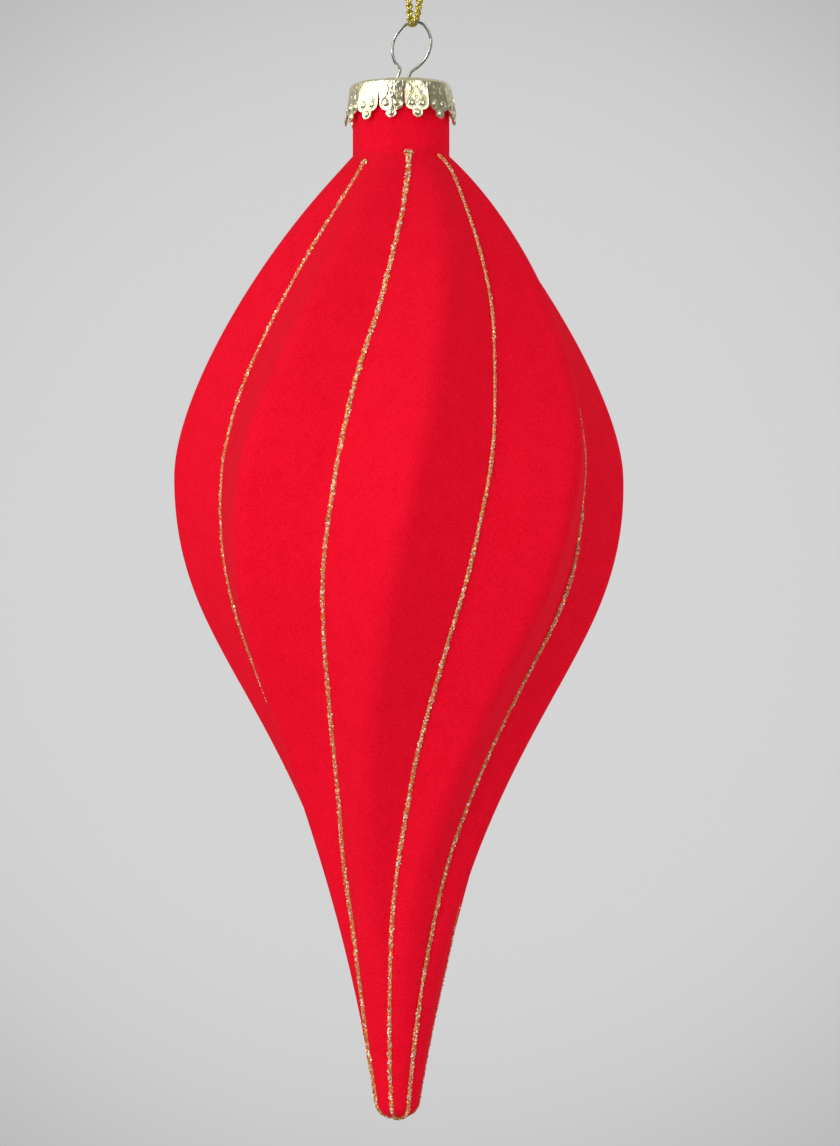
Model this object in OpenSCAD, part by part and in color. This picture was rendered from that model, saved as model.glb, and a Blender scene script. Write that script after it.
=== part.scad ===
// Hanging finial ornament: a blown glass drop with eight twisted lobes and a long spire,
// covered in red flock, with glitter lines in its grooves, a stamped crown cap, a spring
// wire hanger and a looped metallic cord.
// Millimetres. The origin is the inside top of the wire ring, where the ornament hangs.
// +Z is up, the front faces -Y, and the shell's axis stands a little to the ring's left.

/* [Glass shell] */
// Number of twisted lobes, with a groove between each two
lobe_count = 8; // [6:1:10]
// Outer radius of the neck
neck_r = 8.9; // [8.5:0.1:10]
// Length of the neck, from its rim to the shoulder
neck_len = 12.9; // [11:0.1:16]
// Radius over the ridges of the lobes at the widest height
widest_r = 41.4; // [34:0.1:46]
// Drop from the shoulder to the widest height
shoulder_drop = 59; // [50:1:70]
// Drop from the widest height to the end of the spire
spire_drop = 114.5; // [95:0.5:135]
// Radius of the spire where its rounded tip begins
tip_r = 4.1; // [3.2:0.1:5]
// Height of the rounded tip
tip_h = 3.2; // [2.4:0.1:4.5]
// How far the tip hangs to the left of the neck, as blown glass does
lean_w = 0.7; // [0:0.1:2]
// Depth of the grooves below the ridges at the widest height
groove_depth = 6; // [3:0.1:7]
// Radius of each ridge's rounding
ridge_r = 3.7; // [2.5:0.1:5]
// Thickness of the glass
wall = 1.1; // [0.9:0.1:1.6]

/* [Outline of the shell] */
// Widening of the radius for each millimetre of drop, just under the neck
shoulder_flare = 1.1; // [0.8:0.05:1.3]
// Length over which the shoulder keeps that flare
shoulder_reach = 14.5; // [10:0.5:20]
// Length over which the widest height stays upright, above it
upper_reach = 15; // [10:0.5:22]
// Length over which the widest height stays upright, below it
lower_reach = 36; // [26:1:44]
// Narrowing of the radius for each millimetre of drop, at the spire's end
spire_taper = 0.16; // [0.12:0.01:0.2]
// Length over which the spire keeps that taper
spire_reach = 75; // [60:1:85]

/* [Swirl] */
// Turn of the grooves from the shoulder to the tip, in degrees
swirl = 73; // [30:1:100]
// Direction of one groove at the shoulder, in degrees from +X
groove_start = 9.5; // [0:0.5:44]

/* [Glitter] */
// Width of a glitter line
line_w = 0.9; // [0.7:0.1:1.6]
// Width of the blob where a line starts
blob_w = 2; // [1.2:0.1:2.4]
// Height of a glitter line over the groove
line_h = 0.45; // [0.3:0.05:0.7]
// Thickness of the button of glitter under the tip, where the lines meet
dab_t = 0.6; // [0.5:0.05:0.9]

/* [Crown cap] */
// Thickness of the sheet metal
sheet = 0.25; // [0.2:0.05:0.35]
// How far the cap sits askew, raised on the right, in degrees
cap_tilt = 1; // [0:0.5:3]
// Play between the neck and the cap's wall
neck_play = 0.2; // [0.15:0.01:0.3]
// Height of the cap to the ends of its petals
cap_h = 7.4; // [6.5:0.1:8]
// How far the skirt stands out at the ends of its petals
flare_w = 0.9; // [0.5:0.05:1.1]
// Radius of the rounded edge of the cap's top
cap_edge_r = 1.1; // [0.6:0.1:1.2]
// Number of petals round the skirt
petal_count = 13; // [12:1:14]
// Width of a petal
petal_w = 4.35; // [3.4:0.05:4.4]
// Distance from the cap's top to the start of the slits between the petals
slit_start = 1.6; // [1.3:0.1:2.2]
// Direction of the first petal, in degrees from +X
petal_start = 11; // [0:1:27]
// Radius of the round lobe at the end of a petal
petal_lobe_r = 0.95; // [0.7:0.05:1.2]
// Radius of the two rounded corners of a petal
petal_corner_r = 1.2; // [0.8:0.05:1.5]
// Radius of the domes stamped in a petal
dome_r = 0.6; // [0.45:0.05:0.7]
// How far a dome stands out of the petal
dome_h = 0.25; // [0.15:0.05:0.35]

/* [Wire hanger] */
// Diameter of the spring wire
wire_d = 0.55; // [0.45:0.05:0.7]
// Height of the ring's inside top over the cap
ring_rise = 11.4; // [10.5:0.1:13]
// Width of the ring, between the middles of the wire
ring_w = 7.1; // [6:0.1:8]
// How far the ring's top stands to the right of the neck's axis
ring_lean = 2.1; // [0:0.1:3]
// Distance between the two legs where they go through the cap
leg_gap = 2.5; // [2:0.1:4]
// Radius of the cap's two holes for the legs
leg_hole_r = 0.5; // [0.45:0.05:0.7]
// How far the legs reach down inside the neck
leg_len = 14; // [11:0.5:18]
// Play between the legs' feet and the inside of the neck
leg_play = 0.1; // [0.05:0.05:0.3]

/* [Cord] */
// Diameter of the cord
cord_d = 1.2; // [0.9:0.1:1.4]
// Share of its thickness that the soft cord loses where it bears on the wire
cord_press = 0.4; // [0.2:0.05:0.5]
// Diameter of the knot
knot_d = 3.4; // [2.8:0.1:4.5]
// Height of the knot
knot_h = 3.2; // [2.5:0.1:4.5]
// Length of the cord's two ends above the knot
tail_len = 6; // [3:0.5:10]

/* [Hidden] */
line_names = [for (k = [1 : lobe_count]) str("glitter_line_", k)];

// Heights and places that follow from the sizes above
neck_x = -ring_lean;
cap_top_z = -ring_rise;
rim_z = cap_top_z - sheet;
shoulder_z = rim_z - neck_len;
widest_z = shoulder_z - shoulder_drop;
spire_z = widest_z - spire_drop;
lobe_angle = 360 / lobe_count;
half_lobe = lobe_angle / 2;

// The cap's wall stands off the neck, and the rim is flat as far out as the cap's own top is
least_round = 0.1;
cap_in_r = neck_r + neck_play;
cap_flat_r = cap_in_r + sheet - cap_edge_r;
rim_r = min(neck_r - least_round, cap_flat_r);

// Rings of points down the shell: steps above and below the widest height, and in the tip
shoulder_steps = 13;
spire_steps = 21;
tip_angles = [28, 56, 78];
inner_every = 2;

// How soon the round neck and tip turn into ridged lobes
ridge_onset = 12;

// Share of the swirl's turn that each share of the drop has made
swirl_course = [[0, 0], [0.05, 0.1], [0.13, 0.2], [0.24, 0.305], [0.36, 0.4], [0.49, 0.49],
    [0.62, 0.61], [0.75, 0.77], [0.87, 0.905], [1, 1]];

// Points of the ring from its left pinch over the top to its right pinch: the first number
// is a share of half its width, the second a share of its height over the cap
ring_course = [[-0.64, -0.75], [-0.91, -0.62], [-1.03, -0.49], [-1.03, -0.37], [-0.93, -0.245],
    [-0.69, -0.128], [-0.38, -0.026], [0.05, 0.025], [0.46, 0.005], [0.73, -0.075],
    [0.9, -0.185], [0.96, -0.3], [0.87, -0.44], [0.67, -0.57], [0.34, -0.685], [-0.13, -0.807]];
ring_turns = 2;
wire_sides = 8;

// Points of a leg from its pinch to its foot: the first number is a share of the way from
// its hole to the neck's wall, the second a share of its length
leg_course = [[0.007, -0.021], [0.016, 0.043], [0.3, 0.22], [0.75, 0.48], [0.96, 0.68],
    [1, 0.8], [0.95, 0.92], [0.854, 1]];

// A petal's two upper domes: the distance between them, and their drop from the cap's top
dome_gap = 2;
dome_drop = 4.6;

// How far the end lobe's middle stands below a petal's two corners
lobe_drop = 0.45;

// Solids that are joined reach this far into each other
lap = 0.05;

// The glitter bead's shoulders: their share of its width, and of its height
bead_side = 0.2;
bead_shoulder = 0.75;

// The knot's barrel: its flat ends' share of its width, and its belly's share of its height
knot_end = 0.7;
knot_belly = [0.3, 0.7];

// The cord's two ends above the knot: their distance from its middle, lean and depth in it
tail_place = [0.6, 0.4];
tail_lean = 9;
tail_sink = 0.5;

// Route of the cord: up the front strand, under the ring's top wire and up the back strand
cord_route = [[0, -0.7, 21.96], [0, -0.8, 20], [-0.5, -1.3, 16], [-0.7, -1.9, 12],
    [-0.6, -2.1, 8], [-0.45, -2, 5], [-0.35, -1.7, 3], [-0.25, -1.2, 1.2], [0, -0.8, 0.1],
    [0.3, 0, -0.44], [0.7, 0.8, 0.1], [1.1, 1.2, 1.2], [1.3, 1.7, 3], [1.4, 2, 5],
    [1.6, 2.1, 8], [1.7, 1.9, 12], [1.5, 1.3, 16], [1, 0.8, 20], [1, 0.7, 21.96]];
press_reach = 1.2;
cord_turns = 2;
cord_sides = 8;
knot_x = (cord_route[0][0] + cord_route[len(cord_route) - 1][0]) / 2;
knot_z = 22;

// Point on the cubic curve through four control values, at share u
function bezier(a, b, c, d, u) =
    a * pow(1 - u, 3) + 3 * b * pow(1 - u, 2) * u + 3 * c * (1 - u) * u * u + d * pow(u, 3);

// Smooth curve through points: n short steps between each two of them
function smooth_route(points, n) =
    let (last = len(points) - 1)
    concat(
        [for (i = [0 : last - 1], j = [0 : n - 1])
            let (
                u = j / n,
                p0 = points[max(i - 1, 0)],
                p1 = points[i],
                p2 = points[i + 1],
                p3 = points[min(i + 2, last)]
            )
            0.5 * (2 * p1 + (p2 - p0) * u + (2 * p0 - 5 * p1 + 4 * p2 - p3) * u * u
                + (3 * p1 - p0 - 3 * p2 + p3) * u * u * u)],
        [points[last]]
    );

// Slope of a course of [x, y] pairs at its point i
function course_slope(course, i) =
    let (a = course[max(i - 1, 0)], b = course[min(i + 1, len(course) - 1)])
    (b[1] - a[1]) / (b[0] - a[0]);

// Value of a course at x, on a smooth curve through its pairs
function course_at(course, x, i = 0) =
    (i < len(course) - 2 && x > course[i + 1][0])
    ? course_at(course, x, i + 1)
    : let (
        a = course[i],
        b = course[i + 1],
        step = b[0] - a[0],
        u = (x - a[0]) / step
    )
    bezier(
        a[1],
        a[1] + course_slope(course, i) * step / 3,
        b[1] - course_slope(course, i + 1) * step / 3,
        b[1],
        u
    );

// One ring of the shell is [height, radius over the ridges, share of the full swell]
function shoulder_ring(u) =
    let (
        z = bezier(0, shoulder_reach, shoulder_drop - upper_reach, shoulder_drop, u),
        r = bezier(neck_r, neck_r + shoulder_flare * shoulder_reach, widest_r, widest_r, u)
    )
    [shoulder_z - z, r, (r - neck_r) / (widest_r - neck_r)];

function spire_ring(u) =
    let (
        z = bezier(0, lower_reach, spire_drop - spire_reach, spire_drop, u),
        r = bezier(widest_r, widest_r, tip_r + spire_taper * spire_reach, tip_r, u)
    )
    [widest_z - z, r, (r - tip_r) / (widest_r - tip_r)];

function tip_ring(a) = [spire_z - tip_h * sin(a), tip_r * cos(a), 0];

// Direction straight out of the rounded tip at such an angle, as [outwards, down]
function tip_out(a) =
    let (n = [cos(a) / tip_r, sin(a) / tip_h])
    n / norm(n);

shell_rings = concat(
    [[rim_z, rim_r, 0], [rim_z - (neck_r - rim_r), neck_r, 0]],
    [for (i = [0 : shoulder_steps]) shoulder_ring(i / shoulder_steps)],
    [for (i = [1 : spire_steps]) spire_ring(i / spire_steps)],
    [for (a = tip_angles) tip_ring(a)]
);
shoulder_row = 2;
spire_end_row = shoulder_row + shoulder_steps + spire_steps;
last_row = len(shell_rings) - 1;

// Direction of the first groove at height z
function groove_angle(z) =
    let (share = (shoulder_z - z) / (shoulder_drop + spire_drop))
    groove_start - swirl * course_at(swirl_course, max(0, min(1, share)));

// Radius of a lobe at an angle from its ridge: a rounded ridge between two flat flanks
// that meet the neighbours in the grooves
function groove_radius(ring) = ring[1] - groove_depth * ring[2];
function ridge_round(ring) =
    ring[1] + (ridge_r - ring[1]) * (1 - pow(1 - ring[2], ridge_onset));
function flank_tilt(ring) =
    let (
        middle = ring[1] - ridge_round(ring),
        a = groove_radius(ring) * cos(half_lobe) - middle,
        b = groove_radius(ring) * sin(half_lobe)
    )
    atan2(b, a) - acos(min(1, ridge_round(ring) / norm([a, b])));
function ridge_span(ring) =
    let (tilt = flank_tilt(ring), rho = ridge_round(ring))
    atan2(rho * sin(tilt), ring[1] - rho + rho * cos(tilt));
function lobe_radius(ring, angle) =
    let (
        rho = ridge_round(ring),
        middle = ring[1] - rho,
        tilt = flank_tilt(ring),
        a = abs(angle)
    )
    a < ridge_span(ring)
    ? middle * cos(a) + sqrt(rho * rho - pow(middle * sin(a), 2))
    : (middle * cos(tilt) + rho) / cos(a - tilt);

// Half the width of the glitter line at a row of the shell
function line_half(row) =
    row == shoulder_row ? blob_w / 2 : min(line_w / 2, shell_rings[row][1] * sin(half_lobe) / 2);

// Angles of a lobe's columns from its ridge: the edges of the glitter lines on its two
// sides, and the ridge's rounding between them
function lobe_columns(row) =
    let (
        ring = shell_rings[row],
        edge = half_lobe - asin(line_half(row) / groove_radius(ring)),
        span = min(ridge_span(ring), 0.7 * edge)
    )
    [-edge, -span, -span / 2, 0, span / 2, span, edge];
lobe_cols = 7;
shell_cols = lobe_cols * lobe_count;

// Middle of the shell at height z: the tip hangs a little off the neck's axis
function shell_x(z) = neck_x - lean_w * max(0, shoulder_z - z) / (shoulder_drop + spire_drop);

// Points of one row, round the shell. inset is the thickness of glass to leave outside it
function shell_row(row, inset) =
    let (ring = shell_rings[row])
    [for (k = [0 : lobe_count - 1], a = lobe_columns(row))
        let (
            r = lobe_radius(ring, a) - inset,
            az = groove_angle(ring[0]) + half_lobe + k * lobe_angle + a
        )
        [shell_x(ring[0]) + r * cos(az), r * sin(az), ring[0]]];

// The glass measured across a sloping wall is thinner than along the radius, so the radius
// keeps more
function wall_inset(row) =
    let (
        above = shell_rings[max(row - 1, 0)],
        below = shell_rings[min(row + 1, spire_end_row)],
        slope = (below[1] - above[1]) / (below[0] - above[0])
    )
    wall * sqrt(1 + slope * slope);

// Triangles between rows of points, each row cols long and closed on itself
function band_faces(rows, cols, first) =
    [for (i = [0 : rows - 2], j = [0 : cols - 1])
        let (
            a = first + i * cols + j,
            b = first + i * cols + (j + 1) % cols,
            c = a + cols,
            d = b + cols
        )
        each [[a, b, c], [b, d, c]]];

// Point on the shell's axis at a depth below the spire's end
function shell_end(depth) = [shell_x(spire_z), 0, spire_z - depth];

function flipped(faces) = [for (f = faces) [f[2], f[1], f[0]]];

// Triangles across the rim between the first outer row and the first inner row
function rim_faces(cols, inner_first) =
    [for (j = [0 : cols - 1])
        let (
            a = j,
            b = (j + 1) % cols,
            c = inner_first + j,
            d = inner_first + (j + 1) % cols
        )
        each [[a, c, b], [b, c, d]]];

// Fan of triangles from a row to the point at its end
function fan_faces(cols, first, apex) =
    [for (j = [0 : cols - 1]) [first + j, first + (j + 1) % cols, apex]];

module body() {
    outer_rows = [for (i = [0 : last_row]) shell_row(i, 0)];
    inner_index = concat(
        [0, shoulder_row],
        [for (i = [shoulder_row + inner_every : inner_every : spire_end_row - 1]) i],
        [spire_end_row]
    );
    inner_rows = [for (i = inner_index)
        shell_row(i, i == 0 ? rim_r - neck_r + wall : i == shoulder_row ? wall : wall_inset(i))];
    outer_count = len(outer_rows) * shell_cols;
    inner_count = len(inner_rows) * shell_cols;
    points = concat(
        [for (row = outer_rows) each row],
        [for (row = inner_rows) each row],
        [shell_end(tip_h), shell_end(tip_h / 3)]
    );
    tip_point = outer_count + inner_count;
    faces = concat(
        band_faces(len(outer_rows), shell_cols, 0),
        fan_faces(shell_cols, outer_count - shell_cols, tip_point),
        flipped(band_faces(len(inner_rows), shell_cols, outer_count)),
        flipped(fan_faces(shell_cols, tip_point - shell_cols, tip_point + 1)),
        rim_faces(shell_cols, outer_count)
    );
    color("crimson") polyhedron(points = points, faces = faces, convexity = 8);
}

// A line lies in its groove on the strip of shell between two lobes, from row to row, and
// runs on over the rounded tip
module glitter_line(k) {
    first = shoulder_row;
    last = last_row;
    left_col = ((k + lobe_count - 1) % lobe_count) * lobe_cols + lobe_cols - 1;
    right_col = k * lobe_cols;
    left = [for (i = [first : last]) shell_row(i, 0)[left_col]];
    right = [for (i = [first : last]) shell_row(i, 0)[right_col]];
    rows = [for (i = [0 : last - first])
        let (
            a = left[i],
            b = right[i],
            along = right[min(i + 1, last - first)] - right[max(i - 1, 0)],
            across = b - a,
            out = cross(along, across) / norm(cross(along, across)) * line_h
        )
        each [a, b, b - across * bead_side + out * bead_shoulder, (a + b) / 2 + out,
            a + across * bead_side + out * bead_shoulder]];
    cols = 5;
    count = last - first + 1;
    end = (count - 1) * cols;
    faces = concat(
        flipped(band_faces(count, cols, 0)),
        [[for (j = [0 : cols - 1]) j]],
        [[for (j = [0 : cols - 1]) end + cols - 1 - j]]
    );
    color("goldenrod") polyhedron(points = rows, faces = faces, convexity = 4);
}

// The button covers the ends of the lines: it lies on the shell's end and is as wide as the
// last ring of the tip
module glitter_tip() {
    out = tip_out(tip_angles[len(tip_angles) - 1]) * dab_t;
    inner = shell_row(last_row, 0);
    outer = [for (p = shell_row(last_row, -out[0])) [p[0], p[1], p[2] - out[1]]];
    points = concat(
        outer,
        inner,
        [shell_end(tip_h + dab_t), shell_end(tip_h)]
    );
    faces = concat(
        fan_faces(shell_cols, 0, 2 * shell_cols),
        flipped(fan_faces(shell_cols, shell_cols, 2 * shell_cols + 1)),
        rim_faces(shell_cols, shell_cols)
    );
    color("goldenrod") polyhedron(points = points, faces = faces, convexity = 4);
}

// Section of the cap: a flat top, a rounded edge and a skirt that flares to the petals
edge_steps = 4;
module cap_section(grow) {
    edge = cap_edge_r - sheet + grow;
    polygon(concat(
        [[0, cap_top_z - sheet + grow], [cap_flat_r, cap_top_z - sheet + grow]],
        [for (i = [1 : edge_steps - 1])
            let (a = 90 - 90 * i / edge_steps)
            [cap_flat_r + edge * cos(a), cap_top_z - cap_edge_r + edge * sin(a)]],
        [[cap_in_r + grow, cap_top_z - cap_edge_r],
            [cap_in_r + flare_w + grow, cap_top_z - cap_h - dome_r],
            [0, cap_top_z - cap_h - dome_r]]
    ));
}

// Outline of one petal, seen from outside: straight sides, two round corners and a lobe
corner_z = cap_h - petal_lobe_r - lobe_drop;
module petal_outline() {
    side = petal_w / 2 - petal_corner_r;
    translate([-petal_w / 2, -(corner_z - petal_corner_r)])
        square([petal_w, corner_z - petal_corner_r - slit_start + lap]);
    translate([-side, -corner_z])
        square([2 * side, petal_corner_r + lap]);
    for (s = [-1, 1])
        translate([s * side, -(corner_z - petal_corner_r)])
            circle(r = petal_corner_r, $fn = 32);
    translate([0, -(cap_h - petal_lobe_r)])
        circle(r = petal_lobe_r, $fn = 32);
}

// Radius of the skirt's outside at a depth below the cap's top
function skirt_r(depth) =
    cap_in_r + sheet + flare_w * (depth - cap_edge_r) / (cap_h + dome_r - cap_edge_r);

// Domes of a petal: two side by side, and one on its lobe, as [sideways, depth]
dome_places = [[-dome_gap / 2, dome_drop], [dome_gap / 2, dome_drop], [0, cap_h - petal_lobe_r]];

module petal_domes() {
    ball_r = (dome_r * dome_r + dome_h * dome_h) / (2 * dome_h);
    for (p = dome_places)
        translate([skirt_r(p[1]) + dome_h - ball_r, p[0], cap_top_z - p[1]])
            sphere(r = ball_r, $fn = 32);
}

// The cap rests on the left of the rim and is raised on the right
module askew() {
    translate([neck_x - rim_r, 0, rim_z])
        rotate([0, -cap_tilt, 0])
            translate([rim_r, 0, -rim_z])
                children();
}

module cap() {
    middle = cap_in_r / 2;
    reach = cap_in_r + 2 * flare_w + dome_r;
    color("darkkhaki") askew() difference() {
        intersection() {
            union() {
                rotate_extrude($fn = 72) cap_section(sheet);
                for (i = [0 : petal_count - 1])
                    rotate([0, 0, petal_start + i * 360 / petal_count]) petal_domes();
            }
            union() {
                translate([0, 0, cap_top_z - slit_start])
                    cylinder(r = reach, h = 2 * slit_start, $fn = 72);
                for (i = [0 : petal_count - 1])
                    rotate([0, 0, petal_start + i * 360 / petal_count])
                        translate([middle, 0, cap_top_z])
                            rotate([90, 0, 90])
                                linear_extrude(height = reach - middle) petal_outline();
            }
        }
        rotate_extrude($fn = 72) cap_section(0);
        for (s = [-1, 1])
            translate([s * leg_gap / 2, 0, cap_top_z - 2 * sheet])
                cylinder(r = leg_hole_r, h = 3 * sheet, $fn = 24);
    }
}

// Tube round a route: side_ref is a direction that the route never runs along. Near the
// origin the tube loses the share press of its thickness and is as much wider
module tube(route, r, sides, side_ref, press = 0) {
    last = len(route) - 1;
    points = [for (i = [0 : last])
        let (
            step = route[min(i + 1, last)] - route[max(i - 1, 0)],
            t = step / norm(step),
            flat = side_ref - (side_ref * t) * t,
            u = flat / norm(flat),
            v = cross(t, u),
            share = press * exp(-pow(norm(route[i]) / press_reach, 2))
        )
        for (j = [0 : sides - 1])
            let (a = j * 360 / sides)
            route[i] + r * ((1 + share) * cos(a) * u + (1 - share) * sin(a) * v)];
    faces = concat(
        flipped(band_faces(last + 1, sides, 0)),
        [[for (j = [0 : sides - 1]) j]],
        [[for (j = [0 : sides - 1]) last * sides + sides - 1 - j]]
    );
    polyhedron(points = points, faces = faces, convexity = 6);
}

// One leg from its pinch through the cap's hole, out to the neck's inside wall and down it
function leg_route(side) =
    let (
        hole = leg_gap / 2,
        inside = neck_r - wall - wire_d / 2 - leg_play
    )
    [for (p = leg_course)
        [neck_x + side * (hole + (inside - hole) * p[0]), 0, cap_top_z - leg_len * p[1]]];

function backwards(list) = [for (i = [len(list) - 1 : -1 : 0]) list[i]];

module hanger_wire() {
    ring = [for (p = ring_course) [p[0] * ring_w / 2, 0, p[1] * ring_rise]];
    route = concat(
        backwards(leg_route(-1)),
        ring,
        leg_route(1)
    );
    color("silver") tube(smooth_route(route, ring_turns), wire_d / 2, wire_sides, [0, 1, 0]);
}

module hanging_cord() {
    route = smooth_route(cord_route, cord_turns);
    color("gold") tube(route, cord_d / 2, cord_sides, [1, 0, 0], cord_press);
}

module cord_knot() {
    half = knot_d / 2;
    flat = half * knot_end;
    color("gold") translate([knot_x, 0, knot_z]) {
        rotate_extrude($fn = 48)
            polygon([[0, 0], [flat, 0], [half, knot_h * knot_belly[0]],
                [half, knot_h * knot_belly[1]], [flat, knot_h], [0, knot_h]]);
        for (s = [-1, 1])
            translate([s * tail_place[0], s * tail_place[1], knot_h - tail_sink])
                rotate([0, s * tail_lean, 0]) {
                    cylinder(d = cord_d, h = tail_len, $fn = 24);
                    translate([0, 0, tail_len]) sphere(d = cord_d, $fn = 24);
                }
    }
}

body();
for (k = [0 : lobe_count - 1])
    glitter_line(k);
glitter_tip();
cap();
hanger_wire();
hanging_cord();
cord_knot();
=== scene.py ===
"""Hanging finial ornament: a flocked, swirl-lobed glass drop with glitter in its grooves, a
stamped crown cap, a spring wire hanger and a looped metallic cord, lit on a plain stage."""

import math

import bpy
import numpy as np
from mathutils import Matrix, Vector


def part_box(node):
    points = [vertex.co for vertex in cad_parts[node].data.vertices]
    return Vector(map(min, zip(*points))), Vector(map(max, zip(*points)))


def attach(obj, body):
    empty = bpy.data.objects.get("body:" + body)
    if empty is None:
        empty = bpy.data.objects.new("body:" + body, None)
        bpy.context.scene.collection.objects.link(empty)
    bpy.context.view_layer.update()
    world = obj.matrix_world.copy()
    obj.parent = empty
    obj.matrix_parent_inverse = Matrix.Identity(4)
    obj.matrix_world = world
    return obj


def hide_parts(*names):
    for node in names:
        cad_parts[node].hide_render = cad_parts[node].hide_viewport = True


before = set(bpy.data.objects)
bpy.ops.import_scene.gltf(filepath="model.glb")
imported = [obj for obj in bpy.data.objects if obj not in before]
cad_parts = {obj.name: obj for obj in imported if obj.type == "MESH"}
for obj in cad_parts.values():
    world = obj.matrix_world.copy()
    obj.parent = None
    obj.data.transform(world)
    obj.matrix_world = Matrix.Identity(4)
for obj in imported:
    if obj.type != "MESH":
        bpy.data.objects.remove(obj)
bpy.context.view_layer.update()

bl_info = {
    "name": "Flocked finial ornament",
    "version": (1, 0, 0),
    "blender": (4, 5, 0),
    "location": "View3D > Sidebar > Ornament",
    "description": "Makes a flocked glass finial ornament with its cap, hanger and cord",
    "category": "Add Mesh",
}

BODY = "root"
RIM_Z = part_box("body")[1].z
LINE_NODES = sorted(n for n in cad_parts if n.startswith("glitter_line"))

# Share of the swirl's turn that each share of the drop has made
SWIRL_COURSE = [(0, 0), (0.05, 0.1), (0.13, 0.2), (0.24, 0.305), (0.36, 0.4), (0.49, 0.49),
                (0.62, 0.61), (0.75, 0.77), (0.87, 0.905), (1, 1)]

# Points of the wire's ring, as shares of half its width and of its height over the cap
RING_COURSE = [(-0.64, -0.75), (-0.91, -0.62), (-1.03, -0.49), (-1.03, -0.37), (-0.93, -0.245),
               (-0.69, -0.128), (-0.38, -0.026), (0.05, 0.025), (0.46, 0.005), (0.73, -0.075),
               (0.9, -0.185), (0.96, -0.3), (0.87, -0.44), (0.67, -0.57), (0.34, -0.685),
               (-0.13, -0.807)]

# Points of a leg from its pinch to its foot, as shares of its way out and of its length
LEG_COURSE = [(0.007, -0.021), (0.016, 0.043), (0.3, 0.22), (0.75, 0.48), (0.96, 0.68),
              (1, 0.8), (0.95, 0.92), (0.854, 1)]

# Route of the cord in millimetres: up the front strand, under the wire, up the back strand
CORD_ROUTE = [(0, -0.7, 21.96), (0, -0.8, 20), (-0.55, -1.3, 16), (-0.8, -1.9, 12),
              (-0.78, -2.1, 8), (-0.68, -2, 5), (-0.56, -1.7, 3), (-0.48, -1.2, 1.2),
              (-0.35, -0.8, 0.2), (-0.1, 0, -0.3), (0.3, 0.8, 0.2), (0.75, 1.2, 1.2),
              (1.1, 1.7, 3), (1.35, 2, 5), (1.6, 2.1, 8), (1.7, 1.9, 12), (1.5, 1.3, 16),
              (1, 0.8, 20), (1, 0.7, 21.96)]

# How far each line was laid beside its groove, as seen from the front: drop below the
# shoulder and distance to the right, in millimetres
LINE_DRIFT = {
    "glitter_line_1": [(50, 0), (62, -0.25), (76, 0.35), (87, 0.3), (98, 0), (109, -0.2),
                       (120, -0.3), (131, -0.1), (142, 0.2), (153, 0.1), (164, 0.2)],
    "glitter_line_2": [(0, 0), (100, 0), (125, 0.2), (150, 0.45), (174, 0.45)],
    "glitter_line_5": [(0, -0.5), (16, -0.4), (30, 0)],
    "glitter_line_6": [(0, -0.4), (4, 0.1), (10, 0.4), (21, 0.1), (32, -0.15), (43, -0.4),
                       (54, -0.1), (65, 0.15), (87, 0.1), (100, 0)],
    "glitter_line_7": [(0, 0), (10, 0.35), (21, 0.25), (32, 0.25), (43, -0.05), (54, 0.3),
                       (65, 0.55), (76, 0.4), (87, 0.55), (98, 0.7), (109, 0.6), (120, 0.3),
                       (131, -0.1), (142, -0.2), (153, -0.2), (164, -0.15), (174, 0)],
    "glitter_line_8": [(0, -1.1), (1.8, -0.5), (3.5, -0.2), (10, -0.5), (21, -0.25),
                       (32, -0.2), (43, -0.3), (54, 0), (109, 0), (120, 0.4), (131, 0.2),
                       (142, 0.2), (153, 0.3), (164, 0.2)],
}

# Where a line starts, in millimetres below the shoulder
LINE_START = {"glitter_line_5": 7.0, "glitter_line_6": 1.7, "glitter_line_8": 0.5}

# One line was laid in two goes, and the second starts with a blob of its own
SECOND_START = {"glitter_line_1": 66.0}

# The line with the large blob of glue at its start
FULL_BLOB = "glitter_line_7"

# Lines that were laid thinner, by drop below the shoulder and share of the usual width
LINE_SHARE = {
    "glitter_line_1": [(0, 0.34), (66, 0.34), (66.3, 0.9), (90, 0.9)],
    "glitter_line_2": [(0, 1), (108, 1), (124, 0.33), (134, 0.3)],
    "glitter_line_6": [(0, 0.85), (90, 0.85)],
    "glitter_line_8": [(0, 0.8), (8, 0.75), (60, 0.75), (120, 0.85)],
}

# How each petal in front was bent by hand: in millimetres outwards, outwards on its left
# side and folded back on both sides of its middle, and how flat it is from 0 to 1
PETAL_BEND = {7: (0.15, 0.1, 0.1, 0.6), 8: (0.1, 0.0, 0.0, 0.85), 9: (0.0, 0.0, 0.3, 1.0),
              10: (0.0, 0.0, 0.0, 1.0), 11: (0.05, -0.1, 0.0, 0.9), 12: (0.1, -0.1, 0.1, 0.7)}
HALF_FLAT = (0.0, 0.0, 0.0, 0.6)

# What is stamped in each petal, in metres beside its middle and below the cap's top: domes
# beside its slits, dots, and a stroke that stands on both sides
DOME_SIDE, DOME_DEPTH = 0.00098, 0.0047
DOTS = [(0.0, 0.00185), (-0.00092, 0.0027), (0.00092, 0.0027), (0.0, 0.0036)]
DOT_RADIUS, DOT_HEIGHT = 0.00022, 0.00008
STROKE = [(0.0014, 0.0009), (0.00085, 0.0014), (0.00062, 0.0021), (0.00075, 0.0028),
          (0.0012, 0.0035), (0.0018, 0.00405)]
STROKE_RADIUS, STROKE_HEIGHT = 0.00015, 0.00006

# The moat round a dome: its distance and width in radii of the dome, and its share of the height
MOAT_PLACE, MOAT_WIDTH, MOAT_SHARE = 1.15, 0.2, 0.25

# How far a petal's corners end above the middle of its end lobe
LOBE_DROP = 0.00045

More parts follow.
